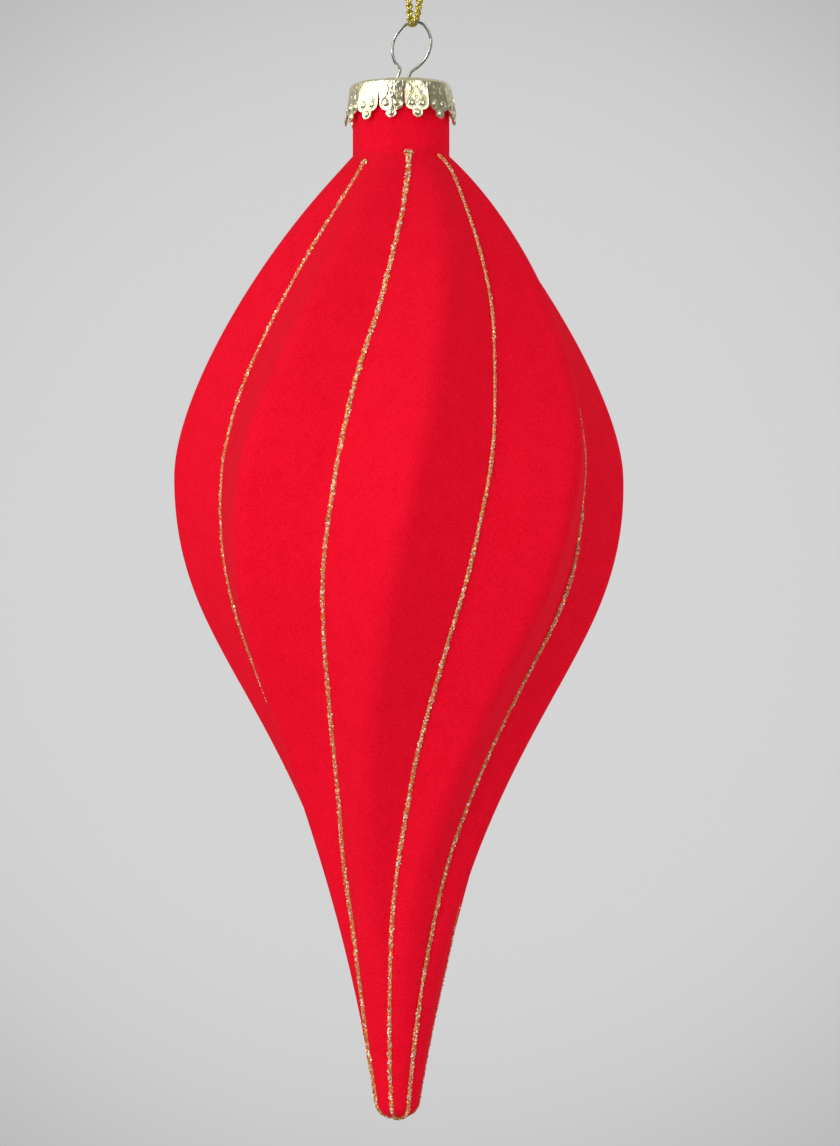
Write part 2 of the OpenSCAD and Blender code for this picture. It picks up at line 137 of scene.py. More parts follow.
# The skirt's flare, as shares that grow evenly and faster, and how soon petals are flat
FLARE_EVEN, FLARE_CURVED = 0.8, 0.2
FLAT_ONSET, FOLD_ONSET = 2.5, 2

# Height of the buckles, their turns across a petal, from petal to petal and down it, and how
# far the bends of the petals behind stray
BUCKLE = 0.00003
BUCKLE_TURNS = (2.6, 1.7, 5)
PETAL_STRAY = 0.15

# Distances at which points at seams and poles are merged
CAP_SEAM, SHELL_SEAM = 0.0000005, 0.000001

# Depth of the punch that makes the cap's holes, through its top with room to spare
PUNCH_DEPTH = 0.003

# Rows of a sector of the cap: on its top, round its edge, to the slits and along the petal
CAP_ROWS = (6, 9, 4, 46)

# The outline's two curves: the reach of each end's straight start, and their slopes
SHOULDER_FLARE, SHOULDER_REACH, UPPER_REACH = 1.1, 0.0145, 0.015
SPIRE_TAPER, SPIRE_REACH, LOWER_REACH = 0.16, 0.075, 0.036

# Rows of the shell and of the glitter lines: down to the widest height and down the spire
SHELL_ROWS, LINE_ROWS = (50, 92), (300, 600)

# How soon the ridges have their rounding, as the lobes swell
RIDGE_ONSET = 12

# The braid: steps along a stitch, a strand's share of the cord's radius, how far it swings
# out where it passes over another and swells there, and the core's share of a strand
STITCH_STEPS = 14
STRAND, SWING, SWELL, CORE = 0.42, 0.06, 0.2, 1.3

# How far from the wire the cord is pressed
PRESS_REACH = 0.0012

# The knot: share of thickness that its turns lose, the feet of its two ends beside its
# middle and, as a share of its height, over it, how far the ends reach past their length, how
# far they lean out, and their share of the cord's thickness
KNOT_PRESS = 0.1
TAIL_FOOT, TAIL_RISE, TAIL_PAST = (0.0006, 0.0004), 0.2, 0.3
TAIL_LEAN = math.radians(9)
TAIL_SHARE = 0.98

# Waves of a glitter line: their length, and their share of its width or height or, for its
# drift beside the groove, their reach
WIDTH_WAVES = [(0.0008, 0.14), (0.006, 0.12)]
HEIGHT_WAVE = (0.0013, 0.2)
DRIFT_WAVE = (0.012, 0.00012)

# Length of a line's first blob, of its second one and of its narrow start, and the share of
# the blob's width that a second blob and the usual first one have
BLOB_LENGTH, SECOND_BLOB_LENGTH, START_LENGTH = 0.0016, 0.0009, 0.0006
SECOND_BLOB, SMALL_BLOB = 0.8, 0.3

# Height of a bead of glue: its usual share of the setting, and the most of its own width
BEAD_HEIGHT, BEAD_LIMIT = 0.85, 0.45

# Flakes: their tilt, the range of their sizes, the share of them that lie beside the glue and
# how many half widths off, and how far a flake lies over the glue
FLAKE_TILT, FLAKE_SIZES = 0.6, (0.7, 1.25)
STRAY_FLAKES, STRAY_REACH = 0.03, (1.0, 1.45)
FLAKE_LIFT = 0.00008
FLAKE_CORNERS = 6

# Distance between the rows of a glitter line and of the wire
FINE_STEP = 0.00022

# Share of the paper's painted brightness by half the distance, in metres, from the place behind
# the ornament: a painted pool of light there and painted shade in a ring round it
PAINTED_POOL_TONES = [(0.0, 1.0), (0.21, 0.985), (0.28, 0.92), (0.33, 0.82), (0.38, 0.7), (0.5, 0.8),
               (0.7, 0.95), (1.0, 0.98)]
WHITE, BLACK = (1.0, 1.0, 1.0, 1.0), (0.0, 0.0, 0.0, 1.0)

# Lamps that light the flock: place, width and height. The setting of that name is the power
LAMP_TARGET = (0.0, 0.0, -0.1)
FLOCK_LAMPS = {"key": ((-0.335, -0.536, -0.1), (0.5, 0.6)),
               "upper": ((-0.216, -0.594, 0.32), (0.5, 0.6)),
               "fill": ((0.68, 0.04, -0.12), (0.36, 0.6))}

# Lamps that are seen only in reflections: place, width and height, and share of a setting
MIRRORED_LAMPS = {"left_panel": ((-1.32, -0.7, 0.7), (2.2, 1.3), 1.0, "panel"),
                  "right_panel": ((0.92, -1.18, 0.5), (0.7, 1.0), 0.22, "panel"),
                  "left_spark": ((-0.75, -0.95, 0.62), (0.2, 0.2), 1.0, "spark"),
                  "low_spark": ((-1.2, -0.8, 0.2), (0.2, 0.2), 1.0, "spark")}


# Settings


def a_length(name, description, default):
    """A size in metres"""
    return bpy.props.FloatProperty(name=name, description=description, default=default,
                                   unit="LENGTH")


def an_angle(name, description, default):
    """An angle in radians"""
    return bpy.props.FloatProperty(name=name, description=description, default=default,
                                   unit="ROTATION")


def an_amount(name, description, default):
    """A strength or power from nought up"""
    return bpy.props.FloatProperty(name=name, description=description, default=default, min=0)


def a_count(name, description, default, **limits):
    """A number of things"""
    return bpy.props.IntProperty(name=name, description=description, default=default,
                                 **limits)


def a_colour(name, description, default):
    """A colour that a user picks"""
    return bpy.props.FloatVectorProperty(name=name, description=description, default=default,
                                         subtype="COLOR", size=3, min=0, max=1)


class ShellSettings(bpy.types.PropertyGroup):
    """Sizes of the glass shell and the colours of its flock"""

    lobes: a_count("Lobes", "Number of twisted lobes", 8, min=6, max=10)
    neck_x: a_length("Neck place", "Middle of the neck, to the right of the ring's top", -0.0021)
    neck_radius: a_length("Neck radius", "Outer radius of the neck", 0.0089)
    rim_radius: a_length("Rim radius", "Radius of the neck's flat rim", 0.00825)
    neck_length: a_length("Neck length", "From the rim to the shoulder", 0.0129)
    widest_radius: a_length(
        "Widest radius", "Radius over the ridges at the widest height", 0.0414)
    shoulder_drop: a_length("Shoulder drop", "From the shoulder to the widest height", 0.059)
    spire_drop: a_length("Spire drop", "From the widest height to the spire's end", 0.1145)
    tip_radius: a_length("Tip radius", "Radius where the rounded tip begins", 0.0041)
    tip_height: a_length("Tip height", "Height of the rounded tip", 0.0032)
    tip_lean: a_length("Tip lean", "How far the tip hangs to the left of the neck", 0.0007)
    groove_depth: a_length("Groove depth", "Depth of the grooves at the widest height", 0.006)
    ridge_radius: a_length("Ridge rounding", "Radius of each ridge's rounding", 0.0037)
    wall: a_length("Glass", "Thickness of the glass", 0.0011)
    swirl: an_angle("Swirl", "Turn of the grooves from shoulder to tip", math.radians(73))
    groove_start: an_angle(
        "First groove", "Direction of one groove at the shoulder", math.radians(9.5))
    flock: a_colour("Flock", "Colour of the flock", (0.97, 0.005, 0.028))
    flock_deep: a_colour("Deep flock", "Colour between the fibres", (0.84, 0.0012, 0.017))


class GlitterSettings(bpy.types.PropertyGroup):
    """Sizes and colours of the glitter"""

    width: a_length("Line width", "Width of a glitter line", 0.0007)
    blob: a_length("Blob width", "Width of the blob where a line starts", 0.0018)
    height: a_length("Line height", "Height of a line over its groove", 0.00036)
    flake: a_length("Flake", "Width of a flake", 0.00038)
    flakes: a_count("Flakes", "Number of flakes in a line", 3900, min=10)
    pale_from: bpy.props.FloatProperty(
        name="Pale flakes", description="Share of the flakes that are darker than the pale ones",
        default=0.76, min=0, max=1)
    tip_flakes: a_count("Tip flakes", "Number of flakes on the tip's button", 90, min=10)
    tip_dab: a_length("Button", "Thickness of the glitter under the tip", 0.0005)
    tip_reach: a_length("Button radius", "Radius of the glitter under the tip", 0.00085)
    copper: a_colour("Copper", "Darkest flakes", (0.86, 0.25, 0.08))
    gold: a_colour("Gold", "Most flakes", (1.0, 0.52, 0.18))
    pale: a_colour("Pale", "Lightest flakes", (1.0, 0.98, 0.88))
    green: a_colour("Green", "The few greenish flakes", (0.55, 0.68, 0.4))
    glue: a_colour("Glue", "Glue between the flakes", (0.5, 0.2, 0.08))


class CapSettings(bpy.types.PropertyGroup):
    """Sizes and colours of the crown cap"""

    sheet: a_length("Sheet", "Thickness of the metal", 0.00025)
    tilt: an_angle("Tilt", "How far the cap sits askew", math.radians(1))
    neck_play: a_length("Play", "Play between the neck and the cap's wall", 0.0002)
    height: a_length("Height", "Height to the ends of the petals", 0.0074)
    flare: a_length("Flare", "How far the skirt stands out at its ends", 0.0009)
    edge: a_length("Edge", "Radius of the top's rounded edge", 0.0009)
    petals: a_count("Petals", "Number of petals", 13, min=6)
    petal_width: a_length("Petal width", "Width of a petal", 0.0044)
    slit_start: a_length("Slit start", "From the top to the start of the slits", 0.0016)
    aside: a_length("Aside", "How far the cap sits to the left in its play", 0.00015)
    first_petal: an_angle("First petal", "Direction of the first petal", math.radians(11))
    lobe_radius: a_length("Lobe", "Radius of the lobe at a petal's end", 0.00095)
    corner_radius: a_length("Corner", "Radius of a petal's corners", 0.0012)
    dome_radius: a_length("Dome", "Radius of the stamped domes", 0.0006)
    dome_height: a_length("Dome height", "How far a dome stands out", 0.00024)
    hole_radius: a_length("Leg hole", "Radius of the holes for the wire", 0.0005)
    metal: a_colour("Metal", "Colour of the sheet metal", (0.9, 0.86, 0.6))
    tarnish: a_colour("Tarnish", "Colour of the duller patches", (0.7, 0.62, 0.33))


class WireSettings(bpy.types.PropertyGroup):
    """Sizes and colour of the spring wire"""

    diameter: a_length("Wire", "Diameter of the wire", 0.00055)
    rise: a_length("Ring rise", "Height of the ring's inside top over the cap", 0.0114)
    width: a_length("Ring width", "Width between the middles of the wire", 0.0071)
    leg_gap: a_length("Leg gap", "Distance between the legs at the cap", 0.0025)
    leg_length: a_length("Leg length", "How far the legs reach down", 0.014)
    leg_play: a_length("Leg play", "Play between the feet and the neck", 0.0001)
    metal: a_colour("Metal", "Colour of the wire", (0.52, 0.51, 0.46))
    dull: a_colour("Dull metal", "Colour of the duller places", (0.26, 0.25, 0.2))


class CordSettings(bpy.types.PropertyGroup):
    """Sizes and colours of the cord"""

    diameter: a_length("Cord", "Diameter of the cord", 0.0012)
    stitch: a_length("Stitch", "Length of one stitch of the braid", 0.0012)
    press: bpy.props.FloatProperty(
        name="Press", description="Share of its thickness lost where it bears on the wire",
        default=0.5, min=0, max=0.8)
    knot_width: a_length("Knot", "Width of the knot", 0.0034)
    knot_height: a_length("Knot height", "Height of the knot", 0.0032)
    tail: a_length("Tails", "Length of the ends above the knot", 0.006)
    thread: a_colour("Thread", "Colour of the metallic thread", (1.0, 0.86, 0.2))
    thread_deep: a_colour("Deep thread", "Colour between the threads", (0.34, 0.24, 0.02))


class StageSettings(bpy.types.PropertyGroup):
    """The camera, the lamps and the pale stage"""

    camera_place: bpy.props.FloatVectorProperty(
        name="Camera", description="Place of the camera", subtype="TRANSLATION", size=3,
        default=(0.00138, -0.5704, -0.1011))
    lens: bpy.props.FloatProperty(
        name="Lens", description="Focal length", default=97.38, unit="CAMERA")
    floor_z: a_length("Floor", "Height of the floor", -0.95)
    room_radius: a_length("Room", "Radius of the round backdrop", 2.6)
    paper: a_colour("Paper", "Colour of the floor and backdrop", (0.8, 0.8, 0.8))
    paper_glow: an_amount("Paper glow", "Lift of the paper, as seen and mirrored", 0.364)
    sky: an_amount("Room light", "Strength of the even light of the room", 0.44)
    sky_mirrored: an_amount(
        "Mirrored room", "Strength of the room above, as metal mirrors it", 0.5)
    key: an_amount("Key lamp", "Power of the large lamp on the left", 2.15)
    panel: an_amount("Panel", "Power of the panel that the metal mirrors", 20.0)
    spark: an_amount("Spark", "Power of each small lamp that glints in glitter and cord", 2.5)
    upper: an_amount("Upper lamp", "Power of the lamp above the camera", 0.7)
    fill: an_amount("Fill lamp", "Power of the soft lamp on the right", 1.32)


# Curves and courses


def bezier(a, b, c, d, u):
    """Cubic curve through four control values"""
    v = 1 - u
    return a * v ** 3 + 3 * b * v ** 2 * u + 3 * c * v * u ** 2 + d * u ** 3


def course_at(course, x):
    """Smooth curve through the pairs of a course, at x"""
    xs, ys = np.array(course, float).T
    slopes = np.array([(ys[min(i + 1, len(xs) - 1)] - ys[max(i - 1, 0)])
                       / (xs[min(i + 1, len(xs) - 1)] - xs[max(i - 1, 0)])
                       for i in range(len(xs))])
    x = np.clip(x, xs[0], xs[-1])
    i = np.clip(np.searchsorted(xs, x) - 1, 0, len(xs) - 2)
    step = xs[i + 1] - xs[i]
    return bezier(ys[i], ys[i] + slopes[i] * step / 3, ys[i + 1] - slopes[i + 1] * step / 3,
                  ys[i + 1], (x - xs[i]) / step)


def smooth_route(points, steps):
    """Smooth line through points, with that many short steps between each two"""
    p = np.array(points, float)
    last = len(p) - 1
    out = []
    for i in range(last):
        p0, p1, p2, p3 = p[max(i - 1, 0)], p[i], p[i + 1], p[min(i + 2, last)]
        for j in range(steps):
            u = j / steps
            out.append(0.5 * (2 * p1 + (p2 - p0) * u
                              + (2 * p0 - 5 * p1 + 4 * p2 - p3) * u ** 2
                              + (3 * p1 - p0 - 3 * p2 + p3) * u ** 3))
    out.append(p[last])
    return np.array(out)


def evenly(line, step):
    """The line again, with points about one step apart"""
    along = np.concatenate([[0], np.cumsum(np.linalg.norm(np.diff(line, axis=0), axis=1))])
    at = np.linspace(0, along[-1], max(2, int(math.ceil(along[-1] / step)) + 1))
    return np.stack([np.interp(at, along, line[:, k]) for k in range(3)], axis=1), at


def unit(v):
    """Vectors of length one"""
    return v / np.maximum(np.linalg.norm(v, axis=-1, keepdims=True), 1e-12)


def round_axis(reach, azimuth, z, middle=0.0):
    """Points at a reach and direction from an upright axis that stands at middle"""
    return np.stack([middle + reach * np.cos(azimuth), reach * np.sin(azimuth), z], axis=-1)


def wander(rng, at, spacing):
    """Smooth random course from -1 to 1 along a line, with a new value each spacing"""
    knots = np.arange(at[0] - spacing, at[-1] + 2 * spacing, spacing)
    values = rng.uniform(-1, 1, len(knots))
    i = np.clip(((at - knots[0]) / spacing).astype(int), 0, len(knots) - 2)
    u = (at - knots[i]) / spacing
    u = u * u * (3 - 2 * u)
    return values[i] * (1 - u) + values[i + 1] * u


# Meshes


def take(piece, name):
    """Names a new piece and its mesh"""
    piece.name = name
    piece.data.name = name
    return piece


def added(operator, name, **settings):
    """Adds a primitive, lamp or camera by its operator and names it"""
    bpy.ops.object.select_all(action="DESELECT")
    operator(**settings)
    return take(bpy.context.active_object, name)


def new_grid(name, columns, rows):
    """Adds a grid and returns it with the row and the column of each vertex"""
    piece = added(bpy.ops.mesh.primitive_grid_add, name, x_subdivisions=columns,
                  y_subdivisions=rows, size=2)
    co = np.empty(len(piece.data.vertices) * 3)
    piece.data.vertices.foreach_get("co", co)
    co = co.reshape(-1, 3)
    return (piece, np.rint((1 - co[:, 1]) / 2 * rows).astype(int),
            np.rint((co[:, 0] + 1) / 2 * columns).astype(int))


def put(piece, points):
    """Moves every vertex of a piece to its place"""
    piece.data.vertices.foreach_set("co", np.asarray(points, float).ravel())
    piece.data.update()


def only(piece):
    """Selects this piece and nothing else"""
    bpy.ops.object.select_all(action="DESELECT")
    piece.select_set(True)
    bpy.context.view_layer.objects.active = piece


def joined(parts):
    """Joins the parts into the first of them"""
    only(parts[0])
    for part in parts[1:]:
        part.select_set(True)
    bpy.ops.object.join()
    return parts[0]


def weld(piece, distance):
    """Merges the points that meet at seams and poles"""
    only(piece)
    bpy.ops.object.mode_set(mode="EDIT")
    bpy.ops.mesh.select_all(action="SELECT")
    bpy.ops.mesh.remove_doubles(threshold=distance)
    bpy.ops.object.mode_set(mode="OBJECT")


def thicken(piece, thickness):
    """Gives an open surface its wall, inwards"""
    only(piece)
    wall = piece.modifiers.new("wall", "SOLIDIFY")
    wall.thickness = thickness
    wall.offset = -1
    bpy.ops.object.modifier_apply(modifier=wall.name)


def smooth(piece, degrees):
    """Smooth shading, with the sharp edges kept"""
    only(piece)
    bpy.ops.object.shade_smooth_by_angle(angle=math.radians(degrees))


def mesh_piece(name, points, faces):
    """A piece from points and faces"""
    data = bpy.data.meshes.new(name)
    data.from_pydata([tuple(p) for p in points], [], faces)
    data.validate()
    piece = bpy.data.objects.new(name, data)
    bpy.context.scene.collection.objects.link(piece)
    return piece


def dress(piece, *materials):
    """Gives a piece its materials, in the order of its slots"""
    piece.data.materials.clear()
    for material in materials:
        piece.data.materials.append(material)


def hang(piece, slot, *nodes):
    """The piece rides on the ornament in place of its plain solids"""
    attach(piece, BODY)
    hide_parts(*nodes)


def bend_strands(name, lines, widths, thickness, sides):
    """Round strands along lines: a curve with a bevel, made a mesh. widths are each strand's
    share of the thickness along its line"""
    curve = added(bpy.ops.curve.primitive_bezier_curve_add, name).data
    curve.splines.clear()
    for line, width in zip(lines, widths):
        spline = curve.splines.new("POLY")
        spline.points.add(len(line) - 1)
        spline.points.foreach_set("co", np.column_stack([line, np.ones(len(line))]).ravel())
        spline.points.foreach_set("radius", width)
    curve.bevel_depth = thickness / 2
    curve.bevel_resolution = sides // 2 - 2
    curve.use_fill_caps = True
    bpy.ops.object.convert(target="MESH")
    return take(bpy.context.active_object, name)


def ring_frames(line, side):
    """The two directions across a line at each of its points, the first towards a side"""
    along = unit(np.gradient(line, axis=0))
    flat = unit(side - (along @ side)[:, None] * along)
    return flat, np.cross(along, flat)


def tube_faces(rows, sides):
    """Faces between rows of points round a tube, and its two ends"""
    faces = []
    for first in range(0, (rows - 1) * sides, sides):
        for j in range(sides):
            a, b = first + j, first + (j + 1) % sides
            faces.append((a, b, b + sides, a + sides))
    faces.append(tuple(reversed(range(sides))))
    faces.append(tuple(range((rows - 1) * sides, rows * sides)))
    return faces


# The shell's form


def shell_rows(s, shoulder_steps, spire_steps):
    """Rows of the shell from shoulder to spire's end: height, ridge radius, share of swell"""
    shoulder_z = RIM_Z - s.neck_length
    u = np.linspace(0, 1, shoulder_steps + 1)
    z1 = shoulder_z - bezier(0, SHOULDER_REACH, s.shoulder_drop - UPPER_REACH,
                             s.shoulder_drop, u)
    r1 = bezier(s.neck_radius, s.neck_radius + SHOULDER_FLARE * SHOULDER_REACH,
                s.widest_radius, s.widest_radius, u)
    w1 = (r1 - s.neck_radius) / (s.widest_radius - s.neck_radius)
    u = np.linspace(0, 1, spire_steps + 1)[1:]
    z2 = shoulder_z - s.shoulder_drop - bezier(0, LOWER_REACH, s.spire_drop - SPIRE_REACH,
                                               s.spire_drop, u)
    r2 = bezier(s.widest_radius, s.widest_radius, s.tip_radius + SPIRE_TAPER * SPIRE_REACH,
                s.tip_radius, u)
    w2 = (r2 - s.tip_radius) / (s.widest_radius - s.tip_radius)
    return (np.concatenate([z1, z2]), np.concatenate([r1, r2]), np.concatenate([w1, w2]))


def spire_end(s):
    """Height of the spire's end, where the rounded tip begins"""
    return RIM_Z - s.neck_length - s.shoulder_drop - s.spire_drop


def tip_rows(s, angles):
    """Rows of the rounded tip at angles below its widest ring"""
    return spire_end(s) - s.tip_height * np.sin(angles), s.tip_radius * np.cos(angles)


def groove_turn(s, z):
    """Direction of the first groove at height z"""
    share = (RIM_Z - s.neck_length - z) / (s.shoulder_drop + s.spire_drop)
    return s.groove_start - s.swirl * course_at(SWIRL_COURSE, np.minimum(share, 1))


def shell_middle(s, z):
    """Middle of the shell at height z"""
    drop = np.clip(RIM_Z - s.neck_length - z, 0, s.shoulder_drop + s.spire_drop)
    return s.neck_x - s.tip_lean * drop / (s.shoulder_drop + s.spire_drop)


def lobe_reach(s, radius, swell, angle):
    """Radius of a lobe at an angle from its ridge: a rounded ridge between two flat flanks"""
    half = math.pi / s.lobes
    groove = radius - s.groove_depth * swell
    rho = radius + (s.ridge_radius - radius) * (1 - (1 - swell) ** RIDGE_ONSET)
    middle = radius - rho
    a = groove * math.cos(half) - middle
    b = groove * math.sin(half)
    tilt = np.arctan2(b, a) - np.arccos(np.minimum(1, rho / np.hypot(a, b)))
    span = np.arctan2(rho * np.sin(tilt), middle + rho * np.cos(tilt))
    angle = np.abs(angle)
    on_ridge = middle * np.cos(angle) + np.sqrt(
        np.maximum(rho ** 2 - (middle * np.sin(angle)) ** 2, 0))
    on_flank = (middle * np.cos(tilt) + rho) / np.cos(angle - tilt)
    return np.where(angle < span, on_ridge, on_flank)


# Shader nodes


def fill(tree, node, inputs):
    """Fills a node's inputs: a socket is linked, and anything else is its value"""
    for label, value in inputs.items():
        if isinstance(value, bpy.types.NodeSocket):
            tree.links.new(value, node.inputs[label])
        else:
            node.inputs[label].default_value = value


def add_node(tree, kind, inputs, **settings):
    """Adds a shader node with its settings, fills its inputs and returns its outputs"""
    node = tree.nodes.new("ShaderNode" + kind)
    for label, value in settings.items():
        setattr(node, label, value)
    fill(tree, node, inputs)
    return node.outputs


def mixed(tree, share, first, second):
    """The first value at a share of nought, the second at one"""
    return add_node(tree, "Mix", {0: share, 2: first, 3: second}, data_type="FLOAT")[0]


def mixed_colour(tree, share, first, second, blend="MIX"):
    """The first colour at a share of nought, the second at one"""
    return add_node(tree, "Mix", {0: share, 6: first, 7: second}, data_type="RGBA",
                    blend_type=blend)[2]


def add_ramp(tree, value, stops, interpolation):
    """Colours along a value, from stops of place and colour"""
    node = tree.nodes.new("ShaderNodeValToRGB")
    elements = node.color_ramp.elements
    node.color_ramp.interpolation = interpolation
    for element, (place, colour) in zip(elements, (stops[0], stops[-1])):
        element.position = place
        element.color = colour4(colour)
    for place, colour in stops[1:-1]:
        elements.new(place).color = colour4(colour)
    fill(tree, node, {"Fac": value})
    return node.outputs["Color"]


def new_group(name, inputs, outputs):
    """A shader node group with its named sockets, what comes in and where it goes out"""
    group = bpy.data.node_groups.new(name, "ShaderNodeTree")
    for way, sockets in (("INPUT", inputs), ("OUTPUT", outputs)):
        for label, kind in sockets.items():
            group.interface.new_socket(name=label, in_out=way,
                                       socket_type="NodeSocket" + kind)
    start = group.nodes.new("NodeGroupInput")
    return group, start.outputs, group.nodes.new("NodeGroupOutput")


def pile_group():
    """Short pile: two noises of different size that mix a light and a deep colour"""
    name = "short_pile"
    if name in bpy.data.node_groups:
        return bpy.data.node_groups[name]
    group, start, end = new_group(
        name, {"Scale": "Float", "Light": "Color", "Deep": "Color", "Patches": "Float"},
        {"Color": "Color", "Height": "Float"})
    place = add_node(group, "TexCoord", {})["Object"]
    tips = add_node(group, "TexNoise", {
        "Vector": place, "Scale": start["Scale"], "Detail": 3.0, "Roughness": 0.65})["Fac"]
    tufts = add_node(group, "TexNoise", {
        "Vector": place, "Scale": 260.0, "Detail": 2.0})["Fac"]
    both = mixed(group, start["Patches"], tips, tufts)
    spread = add_node(group, "MapRange", {
        "Value": both, "From Min": 0.36, "From Max": 0.62})["Result"]
    colour = mixed_colour(group, spread, start["Deep"], start["Light"])
    fill(group, end, {"Color": colour, "Height": tips})
    return group


def handled_metal_group():
    """Sheet and wire that have been handled: dull patches, fine streaks and small dents"""
    name = "handled_metal"
    if name in bpy.data.node_groups:
        return bpy.data.node_groups[name]
    group, start, end = new_group(
        name,
        {"Bright": "Color", "Dull": "Color", "Patch Scale": "Float", "Low Gloss": "Float",
         "High Gloss": "Float", "Dent Scale": "Float", "Streaks": "Float"},
        {"Color": "Color", "Roughness": "Float", "Height": "Float"})
    place = add_node(group, "TexCoord", {})["Object"]
    patches = add_node(group, "TexNoise", {
        "Vector": place, "Scale": start["Patch Scale"], "Detail": 4.0})["Fac"]
    mask = add_node(group, "MapRange", {
        "Value": patches, "From Min": 0.42, "From Max": 0.68})["Result"]
    colour = mixed_colour(group, mask, start["Bright"], start["Dull"])
    gloss = mixed(group, mask, start["High Gloss"], start["Low Gloss"])
    dents = add_node(group, "TexNoise", {
        "Vector": place, "Scale": start["Dent Scale"], "Detail": 1.0})["Fac"]
    drawn = add_node(group, "VectorMath", {
        0: place, 1: (2600.0, 2600.0, 260.0)}, operation="MULTIPLY")["Vector"]
    streaks = add_node(group, "TexNoise", {
        "Vector": drawn, "Scale": 1.0, "Detail": 2.0})["Fac"]
    height = add_node(group, "Math", {
        0: streaks, 1: start["Streaks"], 2: dents}, operation="MULTIPLY_ADD")["Value"]
    fill(group, end, {"Color": colour, "Roughness": gloss, "Height": height})
    return group


def new_material(name):
    """A material with its shader, and its tree ready for more nodes"""
    material = bpy.data.materials.new(name)
    material.use_nodes = True
    return material, material.node_tree, material.node_tree.nodes["Principled BSDF"]


def colour4(c):
    """An opaque colour"""
    return (c[0], c[1], c[2], 1.0)


def add_bump(tree, shader, height, strength, distance):
    """Bump from a height, into the shader's normal"""
    bump = add_node(tree, "Bump", {
        "Strength": strength, "Distance": distance, "Height": height})
    fill(tree, shader, {"Normal": bump["Normal"]})


def pile_material(name, light, deep, pile, bump, finish):
    """A short pile in two colours, with the pile's, the bump's and the shader's values"""
    material, tree, shader = new_material(name)
    made = add_node(tree, "Group", {
        "Light": colour4(light), "Deep": colour4(deep), **pile}, node_tree=pile_group())
    fill(tree, shader, {"Base Color": made["Color"], **finish})
    add_bump(tree, shader, made["Height"], *bump)
    return material


def flock_material(s):
    """Red flock: a dense short pile, matt with a soft sheen at grazing angles"""
    return pile_material(
        "red_flock", s.flock, s.flock_deep, {"Scale": 2600.0, "Patches": 0.2},
        (0.6, 0.00018),
        {"Roughness": 0.92, "Specular IOR Level": 0.06, "Sheen Weight": 0.08,
         "Sheen Roughness": 0.3, "Sheen Tint": (1.0, 0.08, 0.16, 1.0)})


def glue_material(s):
    """The glue that holds the flakes, filled with the finest of them"""
    return pile_material(
        "glitter_glue", s.gold, s.glue, {"Scale": 5200.0, "Patches": 0.1}, (0.8, 0.0001),
        {"Metallic": 0.5, "Roughness": 0.45})


def thread_material(s):
    """Metallic thread: bright filaments with darker gaps between them"""
    return pile_material(
        "gold_thread", s.thread, s.thread_deep, {"Scale": 2400.0, "Patches": 0.1},
        (0.08, 0.00003), {"Metallic": 0.92, "Roughness": 0.14})


def metal_material(name, bright, dull, marks, bump):
    """Bright sheet or wire, with the values of its marks and of its bump"""
    material, tree, shader = new_material(name)
    made = add_node(tree, "Group", {
        "Bright": colour4(bright), "Dull": colour4(dull), **marks},
        node_tree=handled_metal_group())
    fill(tree, shader, {
        "Base Color": made["Color"], "Roughness": made["Roughness"], "Metallic": 1.0})
    add_bump(tree, shader, made["Height"], *bump)
    return material


def wire_material(s):
    """Bright drawn wire"""
    return metal_material(
        "bright_wire", s.metal, s.dull,
        {"Patch Scale": 900.0, "Low Gloss": 0.24, "High Gloss": 0.14, "Dent Scale": 1400.0,
         "Streaks": 0.0}, (0.04, 0.00001))


def cap_material(s):
    """Stamped sheet metal with duller patches"""
    return metal_material(
        "cap_sheet", s.metal, s.tarnish,
        {"Patch Scale": 520.0, "Low Gloss": 0.24, "High Gloss": 0.12, "Dent Scale": 800.0,
         "Streaks": 2.2}, (0.6, 0.00009))


def flake_material(s):
    """Glitter flakes: each has its own colour, by the random number that it carries"""
    material, tree, shader = new_material("glitter_flakes")
    own = add_node(tree, "Attribute", {}, attribute_name="flake")["Fac"]
    stops = [(0.0, s.copper), (0.42, s.gold), (s.pale_from, s.pale), (0.96, s.green)]
    colour = add_ramp(tree, own, stops, "CONSTANT")
    # The pale and the green flakes are film, and the others are half metal
    metal = add_node(tree, "Math", {0: own, 1: s.pale_from}, operation="LESS_THAN")["Value"]
    share = add_node(tree, "Math", {0: metal, 1: 0.5}, operation="MULTIPLY")["Value"]
    fill(tree, shader, {"Base Color": colour, "Metallic": share, "Roughness": 0.16})
    return material


